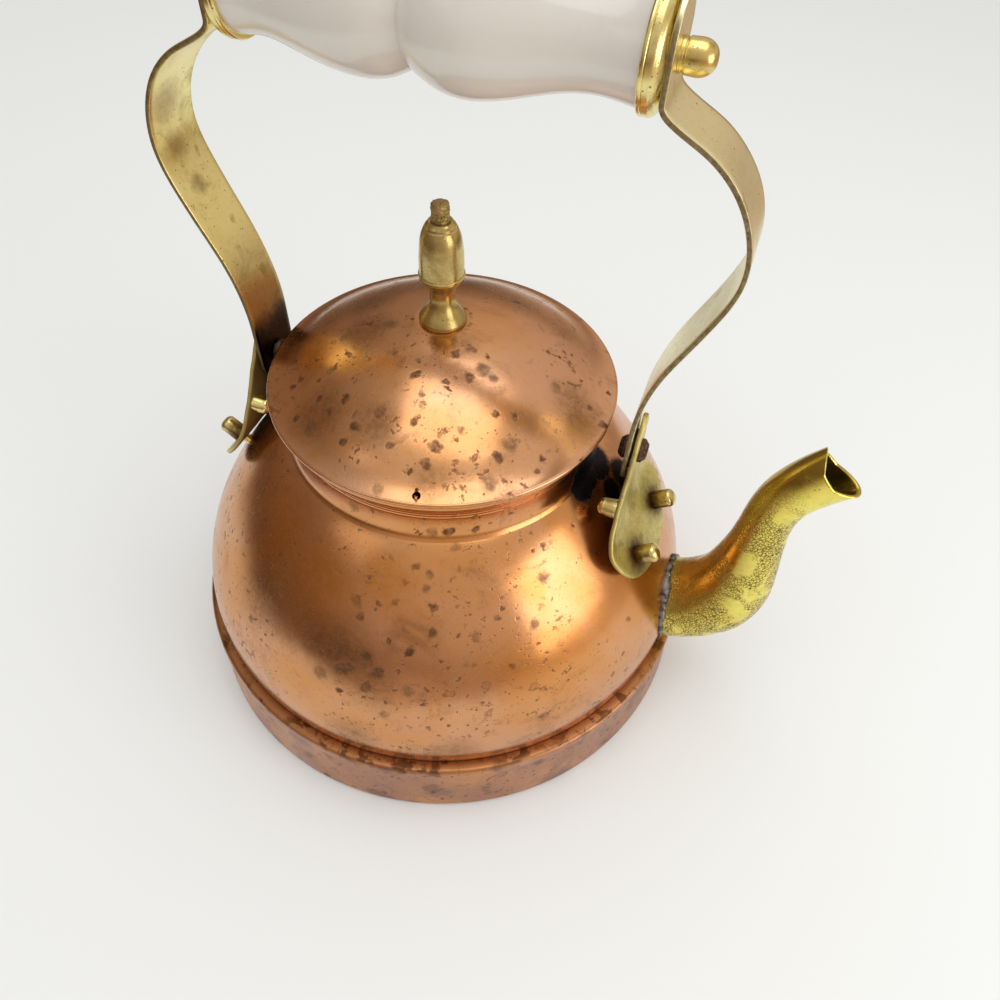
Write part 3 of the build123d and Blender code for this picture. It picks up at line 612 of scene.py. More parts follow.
@dataclass(frozen=True)
class Brass(Finish):
    """Aged brass: pale yellow polish under olive and brown patina, with pits and fine rubbing marks."""

    clean: Colour = (0.76, 0.65, 0.27)
    second: Colour = (0.72, 0.55, 0.20)
    patina: Colour = (0.33, 0.24, 0.07)
    dark: Colour = (0.07, 0.045, 0.022)
    crust_colour: Colour = (0.72, 0.58, 0.12)
    pit_colour: Colour = (0.15, 0.10, 0.02)
    burnt_and_shade_colour: Colour = (0.27, 0.13, 0.035)
    painted_shade_black: Colour = (0.030, 0.018, 0.014)
    inner_tarnish_and_shade: Colour = (0.22, 0.15, 0.06)
    painted_upper_shade: Colour = (0.34, 0.215, 0.035)
    edge_colour: Colour = (0.15, 0.095, 0.035)
    patina_share: float = 0.45
    pitted: float = 0.0
    pits_below: float = 999.0
    painted_shade_below: float = 0.0
    polish: float = 0.24
    grain: float = 0.004
    darkened_faces: Face = Face.NONE
    stains: tuple = ()

    def lay(self, graph: Graph) -> None:
        """Patina by cloudy noise, a pebbled crust, placed stains, and where it is asked for: painted shade that goes
        brown and then black towards the foot, and faces darkened by their direction.
        """
        place = graph.place()
        cloud = graph.noise(place, 11, 7.0, 0.68, 0.5)
        fine = graph.noise(place, 1.5, 6.0, 0.7)
        patina = cloud.rise(0.66 - self.patina_share * 0.5, 0.80) * (0.40 + fine * 1.0)
        ragged = graph.warped(graph.warped(place, 2.2, 0.7), 0.8, 0.25)
        blots = graph.spots(ragged, 6.0, 0.4, 2.0, 0.6, 0.35)
        specks = graph.spots(place, 1.1, 0.06, 0.24, 0.6)
        colour = graph.mix(graph.noise(place, 24, 3.0).rise(0.4, 0.65), self.clean, self.second)
        colour = graph.mix(patina | (blots * 0.6), colour, self.patina)
        colour = graph.mix(fine.rise(0.52, 0.72) * 0.30, colour, self.patina)
        worn = patina
        if self.pitted:
            _, _, high = graph.parts(place)
            low_down = 1 - (high - cloud * 24).rise(self.pits_below - 24, self.pits_below)
            crust = graph.noise(place, 14, 4.0, 0.6, 0.6).rise(0.42, 0.50) * self.pitted * low_down
            lines = graph.pebbles(graph.warped(place, 0.8, 0.12), 0.95, 0.03, 0.17) * fine.rise(0.32, 0.46)
            colour = graph.mix(crust * 0.30, colour, self.crust_colour)
            colour = graph.mix(crust * lines, colour, self.pit_colour)
            worn = worn | (crust * lines)
        for centre, size, tone in self.stains:
            tint, strength, inner, outer = tone.value
            spot = 1 - graph.away(ragged, centre).rise(size * inner, size * outer)
            colour = graph.mix(spot * (0.6 + fine * 0.7) * strength, colour, tint)
        # Painted shade: darker brown and then black towards the foot.
        if self.painted_shade_below:
            _, _, z = graph.parts(place)
            burnt_and_shaded = 1 - (z - cloud * 22).rise(self.painted_shade_below - 16, self.painted_shade_below + 4)
            colour = graph.mix(burnt_and_shaded * 0.75, colour, self.burnt_and_shade_colour)
            black_shade_mask = 1 - (z - cloud * 16 - fine * 5).rise(self.painted_shade_below - 27, self.painted_shade_below - 14)
            colour = graph.mix(black_shade_mask, colour, self.painted_shade_black)
        # Tarnish and painted shade on the face turned to the body.
        if self.darkened_faces is Face.INNER:
            x, _, _ = graph.parts(place)
            out, _, _ = graph.facing()
            hidden = (x * out * -1).rise(2.0, 12.0)
            colour = graph.mix(hidden * 0.60, colour, self.inner_tarnish_and_shade)
            worn = worn | hidden
        # Painted shade on the faces turned up and towards the body.
        if self.darkened_faces is Face.UPPER:
            out, _, up = graph.facing()
            shaded = (up * 0.75 - out * 0.65).rise(-0.10, 0.55)
            colour = graph.mix(shaded * (0.55 + fine * 0.35), colour, self.painted_upper_shade)
        if self.darkened_faces is Face.EDGES:
            _, out, _ = graph.facing()
            rim = (out * out).rise(0.35, 0.80) * (0.45 + fine * 0.8)
            colour = graph.mix(rim, colour, self.edge_colour)
            worn = worn | rim
        colour = graph.mix(specks * 0.75, colour, self.dark)
        lines = graph.scratches(place, (0.2, 0.9, 0.4), 0.3, 14) | graph.scratches(place, (1.3, 0.1, 1.5), 0.3, 11)
        normal = graph.bump(1 - (worn | specks), 0.05, graph.bump(graph.noise(place, 4, 3.0), 0.03))
        normal = graph.bump(lines, self.grain, normal)
        graph.surface({"Base Color": colour, "Metallic": 1 - worn * 0.25, "Normal": normal,
                       "Roughness": self.polish + worn * 0.22 + graph.noise(place, 9, 3.0) * 0.10})


@dataclass(frozen=True)
class Porcelain(Finish):
    """White glazed porcelain with faint warm clouds and a few brown specks."""

    glaze: Colour = (0.64, 0.585, 0.52)
    cloud: Colour = (0.60, 0.525, 0.44)
    speck: Colour = (0.16, 0.11, 0.08)
    crack: Colour = (0.45, 0.36, 0.30)

    def lay(self, graph: Graph) -> None:
        """Nearly even colour; a slow wave in the glaze bends the reflections."""
        place = graph.place()
        colour = graph.mix(graph.noise(place, 30, 3.0).rise(0.4, 0.7) * 0.5, self.glaze, self.cloud)
        specks = graph.spots(place, 11, 0.12, 0.45, 0.35)
        colour = graph.mix(specks * 0.7, colour, self.speck)
        cells = graph.add("ShaderNodeTexVoronoi", {"feature": "DISTANCE_TO_EDGE"},
                          {"Vector": graph.warped(place, 5, 0.8), "Scale": 1 / 8.0})
        crazing = 1 - Value(graph, cells.outputs["Distance"]).rise(0.002, 0.012)
        colour = graph.mix(crazing * 0.06, colour, self.crack)
        graph.surface({"Base Color": colour, "Roughness": 0.16 + graph.noise(place, 12, 3.0) * 0.10,
                       "Normal": graph.bump(graph.noise(place, 16, 2.0), 0.08), "Coat Weight": 0.6,
                       "Coat Roughness": 0.06, "Specular IOR Level": 0.55})


@dataclass(frozen=True)
class DarkIron(Finish):
    """Rough dark brown metal with rusty high points."""

    brown: Colour = (0.045, 0.028, 0.02)
    rust: Colour = (0.20, 0.10, 0.05)
    high: Colour = (0.33, 0.20, 0.10)

    def lay(self, graph: Graph) -> None:
        """Brown by noise, pitted all over."""
        place = graph.place()
        grit = graph.noise(place, 1.1, 6.0, 0.7)
        colour = graph.mix(grit.rise(0.42, 0.64), self.brown, self.rust)
        colour = graph.mix(graph.spots(place, 2.0, 0.2, 0.6, 0.4), colour, self.high)
        graph.surface({"Base Color": colour, "Metallic": 0.75, "Roughness": 0.38 + grit * 0.3,
                       "Normal": graph.bump(grit, 0.16)})


@dataclass(frozen=True)
class Solder(Finish):
    """Grey solder under dark flux, bright where it ran in beads."""

    grey: Colour = (0.26, 0.245, 0.23)
    flux: Colour = (0.045, 0.037, 0.034)
    bright: Colour = (0.74, 0.73, 0.71)

    def lay(self, graph: Graph) -> None:
        """Dark flux by noise, with small bright beads."""
        place = graph.place()
        flux = graph.noise(place, 2.2, 5.0, 0.7)
        colour = graph.mix(flux.rise(0.42, 0.62), self.grey, self.flux)
        beads = graph.spots(place, 1.7, 0.12, 0.42, 0.45, 0.35)
        colour = graph.mix(beads, colour, self.bright)
        graph.surface({"Base Color": colour, "Metallic": 0.85, "Roughness": 0.30 + flux * 0.25,
                       "Normal": graph.bump(flux + beads * 0.5, 0.25)})


@dataclass(frozen=True)
class Table(Finish):
    """Pale table top. Metal sees its far part and what lies beyond as a dim room."""

    near: Colour = (0.865, 0.87, 0.85)
    room: Colour = (0.54, 0.40, 0.28)
    dim_side: Colour = (0.17, 0.10, 0.055)
    lit: float = 0.33
    far: float = 0.47

    def lay(self, graph: Graph) -> None:
        """Even pale colour; for glossy rays it darkens with the distance from the kettle."""
        place = graph.add("ShaderNodeTexCoord").outputs["Object"]
        x, y, _ = graph.parts(place)
        reach = ((x - 0.03) * (x - 0.03) + (y - 0.04) * (y - 0.04)) ** 0.5
        glossy = Value(graph, graph.add("ShaderNodeLightPath").outputs["Is Glossy Ray"])
        beyond = graph.mix((x * -1).rise(-0.05, 0.30), self.room, self.dim_side)
        colour = graph.mix(glossy * reach.rise(self.lit, self.far), self.near, beyond)
        graph.surface({"Base Color": colour, "Roughness": 0.75, "Specular IOR Level": 0.2})


PAN_COPPER = Copper("pan_copper", film=0.55, tarnish=0.75, polish=0.24, spot_share=0.35, turning=0.003,
                    clean=(0.60, 0.32, 0.19), bright_above=26.2)
INNER_COPPER = Copper("inner_copper", clean=(0.62, 0.36, 0.25), tarnish=0.8, polish=0.36, spot_share=0.4)
PLATE_BRASS = Brass("plate_brass", clean=(0.74, 0.66, 0.26), second=(0.68, 0.57, 0.19), patina=(0.34, 0.28, 0.07),
                    patina_share=0.62, grain=0.012, polish=0.31, darkened_faces=Face.INNER)
STRAP_BRASS = Brass("strap_brass", clean=(0.93, 0.86, 0.55), second=(0.88, 0.79, 0.44), patina=(0.56, 0.46, 0.20),
                    patina_share=0.22, grain=0.005, darkened_faces=Face.EDGES)
SPOUT_BRASS = Brass("spout_brass", clean=(0.88, 0.77, 0.18), second=(0.82, 0.69, 0.14), patina=(0.44, 0.32, 0.06),
                    patina_share=0.26, pitted=0.95, pits_below=105.0, polish=0.17, darkened_faces=Face.UPPER)
KNOB_BRASS = Brass("knob_brass", clean=(0.60, 0.47, 0.18), second=(0.54, 0.40, 0.13), patina=(0.22, 0.14, 0.05),
                   patina_share=0.58, polish=0.18)
STUB_BRASS = Brass("stub_brass", clean=(0.55, 0.40, 0.18), patina=(0.16, 0.09, 0.04), patina_share=0.85, pitted=1.0,
                   polish=0.34)
CAP_BRASS = Brass("cap_brass", clean=(0.86, 0.75, 0.33), patina_share=0.34, polish=0.16)
PORCELAIN = Porcelain("porcelain_glaze")
DARK_IRON = DarkIron("rivet_iron")
SOLDER = Solder("solder_flux")


# Where the stains and the painted shade patches are: bearing, height or radius, size and tone


D, G, O, R = Tone.DARK, Tone.GREY, Tone.OLIVE, Tone.RING
VESSEL_STAINS_AND_SHADE = tuple(Stain(*row) for row in (
    (-46, 75, 1.9, G), (-40, 85, 2.0, G), (-37, 91, 1.1, D), (-41, 91, 0.9, D), (-76, 72, 1.9, D), (-76, 61, 2.1, O),
    (-76, 91, 1.5, D), (-72, 90, 1.6, G), (-79, 88, 1.3, D), (-81, 83, 1.6, D), (-73, 87, 1.4, G), (-71, 83, 1.6, D),
    (-91, 81, 2.1, G), (-84, 92, 1.0, D), (-89, 86, 0.7, D), (-66, 89, 0.8, D), (-55, 79, 1.2, D), (-53, 81, 1.0, D),
    (-53, 66, 1.3, D), (-29, 46, 1.0, G), (-21, 60, 1.4, G), (-21, 82, 1.2, D), (-24, 91, 1.0, D), (-71, 77, 1.4, D),
    (-91, 56, 1.1, D), (-87, 40, 1.8, O), (-114, 74, 1.8, O), (-128, 86, 0.8, D), (-64, 95, 1.4, O), (-72, 62, 0.8, D),
    (-81, 74, 0.9, D), (-81, 52, 1.9, O), (-96, 59, 2.4, O), (-94, 73, 2.3, O), (-83, 65, 2.3, D), (-89, 64, 2.1, D),
    (-89, 78, 1.9, D), (-92, 68, 1.6, D), (-97, 66, 1.5, D), (-49, 58, 1.4, R), (-59, 62, 1.7, R), (-67, 61, 1.7, R),
    (-59, 53, 1.4, R), (-47, 46, 1.5, R), (-99, 86, 1.3, R), (-43, 79, 0.8, R), (-72, 99, 2.0, O), (-66, 99, 1.6, D),
    (-57, 99, 1.5, D), (-45, 102, 1.2, D), (-100, 101, 2.0, O), (140, 60, 2.2, D), (95, 72, 1.8, G), (60, 50, 2.4, O),
    (120, 84, 1.6, D), (25, 66, 1.5, D), (-150, 52, 2.0, D), (75, 90, 1.3, D),
    (-93, 68, 13.0, Tone.CLOUD), (-84, 60, 9.0, Tone.CLOUD), (-118, 66, 12.0, Tone.CLOUD), (-122, 86, 15.0, Tone.GOLD),
    (-102, 84, 16.0, Tone.GOLD), (-85, 88, 11.0, Tone.GOLD), (-88, 38, 9.0, Tone.CLOUD), (-66, 36, 8.0, Tone.CLOUD),
    (-88, 66, 7.0, Tone.CLOUD), (-86, 69, 2.4, D), (-91, 63, 2.5, D), (-85, 60, 2.2, D),
    # The near-black rows below are painted shade and painted dark reflection beside the two bracket plates, on body
    # and collar.
    (1, 95, 7.0, Tone.SOOT), (-3, 89, 4.5, Tone.SOOT), (6, 88, 5.5, Tone.SOOT), (-1, 101, 7.0, Tone.SOOT),
    (5, 106, 9.0, Tone.SOOT), (-8, 97, 7.0, Tone.SOOT), (-7, 107, 7.0, Tone.SOOT), (-13, 95, 5.0, Tone.SOOT),
    (180, 92, 6.5, Tone.SOOT),
    (174, 99, 6.0, Tone.SOOT), (186, 103, 6.0, Tone.SOOT)))
LID_STAINS = tuple(Stain(*row) for row in (
    (-49, 22, 1.6, D), (-65, 22, 1.2, D), (-64, 24, 0.9, D), (-88, 21, 1.5, D), (-91, 17, 0.8, D), (-36, 21, 2.5, G),
    (-25, 18, 0.9, D), (-32, 24, 1.6, G), (-80, 26, 1.0, G), (-81, 33, 1.3, D), (-70, 39, 1.8, D), (-42, 41, 2.2, G),
    (-48, 43, 1.6, D), (-34, 35, 1.3, D), (-42, 33, 1.0, D), (-60, 35, 1.3, G), (-74, 43, 1.8, D), (-79, 45, 1.0, D),
    (-88, 40, 1.4, D), (-98, 33, 1.8, D), (-105, 39, 1.7, D), (-106, 43, 1.5, D), (-120, 46, 2.2, O),
    (-137, 34, 1.7, O), (-119, 40, 1.1, D), (-117, 35, 1.4, D), (-143, 45, 1.2, D), (-129, 47, 1.2, D),
    (-53, 48, 2.3, G), (-67, 48, 0.9, G),
    (-88, 50, 1.8, O), (-33, 47, 1.2, D), (-36, 49, 1.1, D), (-26, 47, 1.1, D), (-21, 52, 0.8, D), (-2, 46, 1.1, D),
    (10, 50, 1.1, D), (13, 34, 0.8, D), (-5, 51, 1.4, D), (-157, 15, 2.4, O), (-158, 28, 2.1, O), (173, 30, 1.7, O),
    (-114, 18, 1.1, G), (-35, 14, 1.4, D), (-53, 14, 1.5, D), (-6, 36, 1.8, O), (120, 38, 1.6, D), (80, 44, 1.4, G),
    (60, 28, 1.8, D), (-98, 36, 7.0, Tone.CLOUD), (-122, 42, 9.0, Tone.CLOUD), (-160, 22, 8.0, Tone.CLOUD),
    (-6, 42, 8.0, Tone.CLOUD), (-150, 38, 7.0, Tone.GOLD), (170, 26, 8.0, Tone.CLOUD), (100, 30, 9.0, Tone.CLOUD),
    (-40, 12, 5.0, Tone.CLOUD), (-72, 47, 6.0, Tone.CLOUD)))
# The two cloud patches at the strap's top (heights 182 and 171) are painted shade; the rest are stains.
STRAP_STAINS_AND_SHADE = (((-74.0, -3.0, 182.0), 7.0, Tone.CLOUD), ((-75.0, -2.0, 171.0), 4.2, Tone.CLOUD),
                ((-73.5, -1.0, 160.0), 3.4, Tone.OLIVE), ((-70.5, 3.5, 152.0), 1.6, Tone.RING),
                ((-66.0, 6.0, 139.0), 2.2, Tone.OLIVE))


# Making and dressing pieces


class Bench:
    """Turns grids into pieces, hangs them on the frame and keeps count."""

    def __init__(self) -> None:
        """Starts with no pieces."""
        self.count = 0

    def piece(self, name: str, grid: Array, finish: Finish, body: str, node: str, loop: bool = False,
              keep: Optional[Array] = None, sharp: float = 40.0, wall: float = 0.0) -> bpy.types.Object:
        """Makes one piece that stands for a CAD node.

        Args:
            name: the piece's name.
            grid: places in millimetres; columns close on themselves.
            finish: its finish.
            body: the frame's body that carries it.
            node: the CAD node that it stands for.
            loop: whether the rows close on themselves too.
            keep: which faces of the grid stay, for a piece with a hole.
            sharp: angle in degrees past which an edge stays sharp.
            wall: thickness to give a single skin, or 0.

        Returns:
            The new object.
        """
        rows, columns = grid.shape[:2]
        number = np.arange(rows * columns).reshape(rows, columns)
        below = np.roll(number, -1, axis=0) if loop else number[1:]
        here = number if loop else number[:-1]
        faces = np.stack([here, np.roll(here, -1, axis=1), np.roll(below, -1, axis=1), below], axis=-1)
        faces = faces[keep] if keep is not None else faces.reshape(-1, 4)
        mesh = bpy.data.meshes.new(name)
        mesh.from_pydata((grid.reshape(-1, 3) * MM).tolist(), [], faces.reshape(-1, 4).tolist())
        work = bmesh.new()
        work.from_mesh(mesh)
        bmesh.ops.remove_doubles(work, verts=work.verts[:], dist=2e-7)
        loose = [vertex for vertex in work.verts if not vertex.link_faces]
        bmesh.ops.delete(work, geom=loose, context="VERTS")
        bmesh.ops.recalc_face_normals(work, faces=work.faces[:])
        work.to_mesh(mesh)
        work.free()
        mesh.polygons.foreach_set("use_smooth", np.ones(len(mesh.polygons), bool))
        mesh.set_sharp_from_angle(angle=math.radians(sharp))
        mesh.materials.append(finish.material())
        made = bpy.data.objects.new(name, mesh)
        bpy.context.scene.collection.objects.link(made)
        if wall:
            solid = made.modifiers.new("wall", "SOLIDIFY")
            solid.thickness = wall * MM
            solid.offset = -1.0
        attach(made, body)
        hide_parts(node)
        self.count += 1
        LOG.info("%s: %d faces, rides on %s, stands for %s", name, len(mesh.polygons), body, node)
        return made

    def dress(self, finish: Finish, *nodes: str) -> None:
        """Gives CAD nodes that keep their shape a finish."""
        for node in nodes:
            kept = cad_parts[node]
            if kept.material_slots:
                kept.material_slots[0].material = finish.material()
            else:
                kept.data.materials.append(finish.material())
            LOG.info("%s: CAD node dressed in %s", node, finish.name)


@dataclass
class Vessel:
    """Copper body, pan and collar."""

    wall: float = 1.2
    ledge_z: float = 27.0
    foot_r: float = 85.8
    pan_r: float = 89.4
    pan_foot_r: float = 91.0
    collar_z: float = 95.5
    collar_r: float = 49.5
    bead_z: float = 112.7
    bead_r: float = 49.8
    belly: tuple = ((85.8, 27.0), (92.5, 53.4), (58.8, 90.4), (49.5, 95.5))

    def side(self, count: int = 150) -> Array:
        """Body's side line: a cubic Bezier curve, the sum of its four points by Bernstein weights."""
        t = np.linspace(0, 1, count)[:, None]
        weights = ((1 - t) ** 3, 3 * t * (1 - t) ** 2, 3 * t * t * (1 - t), t ** 3)
        return sum(w * np.array(p) for w, p in zip(weights, self.belly))

    def radius_at(self, z: Array) -> Array:
        """Radius of the vessel's outside at heights: the body above the ledge and the hem below it."""
        line = self.side()
        return np.where(z >= self.ledge_z, np.interp(z, line[:, 1], line[:, 0]), self.pan_r + 0.6)

    def body(self) -> Array:
        """Body's shell: out along the side line and back 1.2 mm inside, pushed by slow dents."""
        line = self.side()
        slope = np.gradient(line, axis=0)
        slope /= np.linalg.norm(slope, axis=1, keepdims=True)
        inner = (line - np.column_stack([slope[:, 1], -slope[:, 0]]) * self.wall)[::-1]
        tuck = np.array([[self.foot_r, self.ledge_z - 5.5]])
        whole = np.concatenate([tuck, line, inner, tuck - (self.wall, 0)])
        grid = turned(whole, 360)
        height = grid[..., 2]
        ease = np.clip((height - self.ledge_z) / 9, 0, 1) * np.clip((self.collar_z - height) / 6, 0, 1)
        dents = 0.17 * ripple(grid, 44, 3) + 0.07 * ripple(grid, 17, 4)
        outward = grid * (1, 1, 0)
        outward /= np.linalg.norm(outward, axis=-1, keepdims=True)
        return grid + outward * (ease * dents)[..., None]

    def pan(self) -> Array:
        """Pan: flat base, coned wall, rolled hem that overhangs it a little and dips to the body's foot."""
        hem = self.pan_r + 0.6
        line = rounded([(0.0, 0.0, 0), (self.pan_foot_r, 0.0, 2.0), (self.pan_r, 23.2, 0.35), (hem, 23.9, 0.7),
                        (hem, self.ledge_z, 1.6), (self.foot_r + 0.1, self.ledge_z, 0.05),
                        (self.foot_r + 0.1, 23.0, 0.3),
                        (self.pan_r - self.wall, 22.6, 0.3), (self.pan_foot_r - self.wall, self.wall, 1.0),
                        (0.0, self.wall, 0)], 7)
        grid = turned(divided(line, 4.0), 360)
        outer = np.clip((grid[..., 2] - 1) / 6, 0, 1) * np.clip((24 - grid[..., 2]) / 4, 0, 1)
        outward = grid * (1, 1, 0)
        outward /= np.maximum(np.linalg.norm(outward, axis=-1, keepdims=True), 1e-6)
        return grid + outward * (outer * 0.14 * ripple(grid, 40, 8))[..., None]

    def collar(self) -> Array:
        """Collar: flared foot, three faint spun ridges on a waisted wall, and a rolled bead on top."""
        foot, top = np.array([self.collar_r, self.collar_z]), np.array([self.bead_r, self.bead_z])
        shape = [(foot[0] + 0.15, foot[1] - 0.05), (foot[0] - 0.55, foot[1] + 0.9), (foot[0] - 1.3, foot[1] + 3.4),
                 (foot[0] - 1.55, foot[1] + 7.0), (foot[0] - 0.9, foot[1] + 11.6), (top[0] - 0.2, top[1] - 3.2)]
        wall = spline(shape, 90)
        share = np.linspace(0, 1, 90)
        ridges = sum(np.exp(-((share - at) / 0.02) ** 2) for at in (0.66, 0.75, 0.85, 0.95))
        wall[:, 0] += 0.13 * ridges
        angle = np.linspace(-math.pi * 0.36, math.pi * 0.98, 26)
        bead = top + 2.0 * np.column_stack([np.cos(angle), np.sin(angle)])
        inside = wall[::-1] - (self.wall, 0)
        line = np.concatenate([wall, bead, inside])
        return turned(line, 360)

    def stains(self) -> tuple:
        """Stains and painted shade patches of body and collar at their places on the surface."""
        top = np.array([(self.collar_r - 1.4, self.collar_z + 3.5), (self.collar_r - 1.0, self.bead_z)])
        side = np.concatenate([self.side(), top])
        return tuple(stain.placed(side, on_lid=False) for stain in VESSEL_STAINS_AND_SHADE)

    def build(self, bench: Bench) -> None:
        """Makes the three copper pieces."""
        stains = self.stains()
        body = Copper("body_copper", groove=27.4, turning=0.0015, stains=stains)
        collar = Copper("collar_copper", film=0.3, turning=0.006, clean=(0.72, 0.34, 0.14), specks=0.7, stains=stains)
        bench.piece("copper_body", self.body(), body, "kettle", "body_shell", loop=True)
        bench.piece("copper_pan", self.pan(), PAN_COPPER, "kettle", "base_pan")
        bench.piece("copper_collar", self.collar(), collar, "kettle", "neck_collar", loop=True)


@dataclass
class Lid:
    """Copper lid with its steam hole, and the turned brass knob."""

    rim_r: float = 52.05
    rim_z: float = 114.9
    rim_minor: float = 0.75
    brim_w: float = 8.3
    brim_h: float = 4.8
    dome_h: float = 15.5
    brim_slope: float = 15.0
    slope: float = 11.0
    flat_r: float = 8.0
    wall: float = 1.2
    hole_r: float = 1.1
    hole_at: float = 50.2
    hole_angle: float = -75.7

    @property
    def top(self) -> float:
        """Height of the lid's flat crown."""
        return self.rim_z + self.brim_h + self.dome_h

    def side(self) -> Array:
        """Lid's side line: crown, an arc that leaves it at a slope, and a hollow brim that flattens to the rim.

        The brim is a quadratic Bezier curve; its middle point is where the slopes of both its ends meet.
        """
        dome_r = self.rim_r + self.rim_minor - self.brim_w
        start = math.radians(self.slope)
        chord = math.hypot(dome_r - self.flat_r, self.dome_h)
        curve = chord / 2 / math.sin(math.atan2(self.dome_h, dome_r - self.flat_r) - start)
        first = math.pi / 2 - start
        last = first - 2 * math.asin(chord / 2 / curve)
        angle = np.linspace(first, last, 70)
        middle = np.array([self.flat_r - curve * math.cos(first), self.top - curve * math.sin(first)])
        arc = middle + curve * np.column_stack([np.cos(angle), np.sin(angle)])
        edge = np.array([self.rim_r + 0.2, self.rim_z + self.rim_minor - 0.03])
        steep, flat = math.tan(math.pi / 2 - last), math.tan(math.radians(self.brim_slope))
        meet = (arc[-1, 1] - edge[1] + steep * arc[-1, 0] - flat * edge[0]) / (steep - flat)
        bend = np.array([meet, edge[1] + flat * (edge[0] - meet)])
        t = np.linspace(0, 1, 34)[1:, None]
        brim = (1 - t) ** 2 * arc[-1] + 2 * t * (1 - t) * bend + t * t * edge
        crown = np.array([[2.55, self.top], [5.0, self.top]])
        return np.concatenate([crown, arc, brim])

    def shell(self) -> tuple[Array, Array]:
        """Lid's outer skin with the steam hole.

        The columns stand closer near the hole. There a square block of the grid is drawn onto the hole: the
        square ring at its edge goes to a circle, and the rings round it ease back to the plain grid.

        Returns:
            The grid, and which of its faces stay.
        """
        line = self.side()
        columns, inner, block = 360, 3, 7
        even = np.linspace(-math.pi, math.pi, columns, endpoint=False)
        drawn = 0.65 * 0.12 * np.tanh(even / 0.12) * (1 - np.abs(even) / math.pi)
        grid = turned(line, even - drawn + math.radians(self.hole_angle))
        rows = len(line)
        row = int(np.argmin(np.abs(line[:, 0] - self.hole_at)))
        row = min(row, rows - block - 1)
        angle = math.radians(self.hole_angle)
        column = columns // 2
        centre = grid[row, column].copy()
        outward = np.array([math.cos(angle), math.sin(angle), 0.0])
        aside = np.array([-math.sin(angle), math.cos(angle), 0.0])
        j, i = np.meshgrid(np.arange(-block, block + 1), np.arange(-block, block + 1), indexing="ij")
        ring = np.maximum(np.abs(j), np.abs(i))
        way = np.arctan2(i, j)
        ease = np.clip((ring - inner) / (block - inner), 0, 1)[..., None]
        circle = centre + self.hole_r * (np.cos(way)[..., None] * outward + np.sin(way)[..., None] * aside)
        part = (slice(row - block, row + block + 1), slice(column - block, column + block + 1))
        plain = grid[part]
        circle[..., 2] = np.interp(np.linalg.norm(circle[..., :2], axis=-1), line[:, 0], line[:, 1])
        grid[part] = np.where(ring[..., None] < block, circle * (1 - ease) + plain * ease, plain)
        keep = np.ones((rows - 1, columns), bool)
        keep[row - inner:row + inner, column - inner:column + inner] = False
        dents = 0.13 * ripple(grid, 34, 11) + 0.05 * ripple(grid, 13, 12)
        calm = np.clip((line[:, 0] - 9) / 8, 0, 1) * np.clip((self.hole_at - 3 - line[:, 0]) / 5, 0, 1)
        grid[..., 2] += dents * calm[:, None]
        return grid, keep

    def rim(self) -> Array:
        """Rolled rim: a thin ring, a circle carried round the axis."""
        angle = np.linspace(0, 2 * math.pi, 14, endpoint=False)
        line = np.array([self.rim_r, self.rim_z]) + self.rim_minor * np.column_stack([np.cos(angle), np.sin(angle)])
        return turned(line, 300)

    def knob_line(self, places: Sequence[tuple[float, float, float]], step: float = 0.5) -> Array:
        """Side line of a knob part; heights count from the lid's crown."""
        return divided(rounded([(r, self.top + h, c) for r, h, c in places]), step)

    def build(self, bench: Bench) -> None:
        """Makes the lid, the rim and the knob's parts, and dresses what is under the lid."""
        grid, keep = self.shell()
        side = self.side()
        stains = tuple(stain.placed(side, on_lid=True) for stain in LID_STAINS)
        copper = Copper("lid_copper", clean=(0.76, 0.42, 0.23), golden=(0.72, 0.35, 0.14), pink=(0.72, 0.40, 0.25),
                        film=0.5, spot_share=0.6, turning=0.003, stains=stains)
        bench.piece("copper_lid", grid, copper, "lid", "lid_shell", keep=keep, wall=self.wall)
        bench.piece("lid_rim", self.rim(), copper, "lid", "lid_shell", loop=True)
        waist = spline([(6.75, self.top + 1.2), (5.9, self.top + 2.6), (4.3, self.top + 5.1), (3.5, self.top + 8.6),
                        (4.0, self.top + 11.0), (5.5, self.top + 13.2), (6.35, self.top + 14.5)], 46)
        foot = self.knob_line([(2.55, 0, 0), (6.6, 0, 0.4), (6.8, 0.5, 0.3), (6.75, 1.2, 0)])
        cup = self.knob_line([(6.35, 14.5, 0), (6.4, 15.4, 0.3), (6.15, 15.5, 0), (2.55, 15.4, 0)])
        pedestal = turned(np.concatenate([foot, waist[1:], cup[1:]]), 96)
        bench.piece("knob_pedestal", pedestal, KNOB_BRASS, "lid", "finial_pedestal", loop=True, sharp=50)
        sides = spline([(6.1, self.top + 15.3), (6.05, self.top + 19.8), (5.75, self.top + 23.9),
                        (5.2, self.top + 26.7), (4.4, self.top + 28.6)], 40)
        cap = self.knob_line([(4.4, 28.6, 0), (4.15, 28.75, 0.1), (4.05, 29.3, 0.2), (3.55, 29.9, 0.3),
                              (3.3, 30.4, 0.15), (2.55, 30.3, 0)], 0.3)
        acorn = turned(np.concatenate([[[2.55, self.top + 15.3]], sides, cap[1:]]), 96)
        acorn = acorn + normals(acorn) * (0.035 * ripple(acorn, 5, 21))[..., None]
        bench.piece("knob_acorn", acorn, KNOB_BRASS, "lid", "finial_acorn", loop=True, sharp=50)
        stub = self.knob_line([(0, -7.5, 0), (2.5, -7.5, 0), (2.5, 30.0, 0), (2.45, 34.6, 0), (2.25, 35.25, 0.3),
                               (1.2, 35.35, 0.2), (0, 35.1, 0)], 0.25)
        stub = turned(stub, 64)
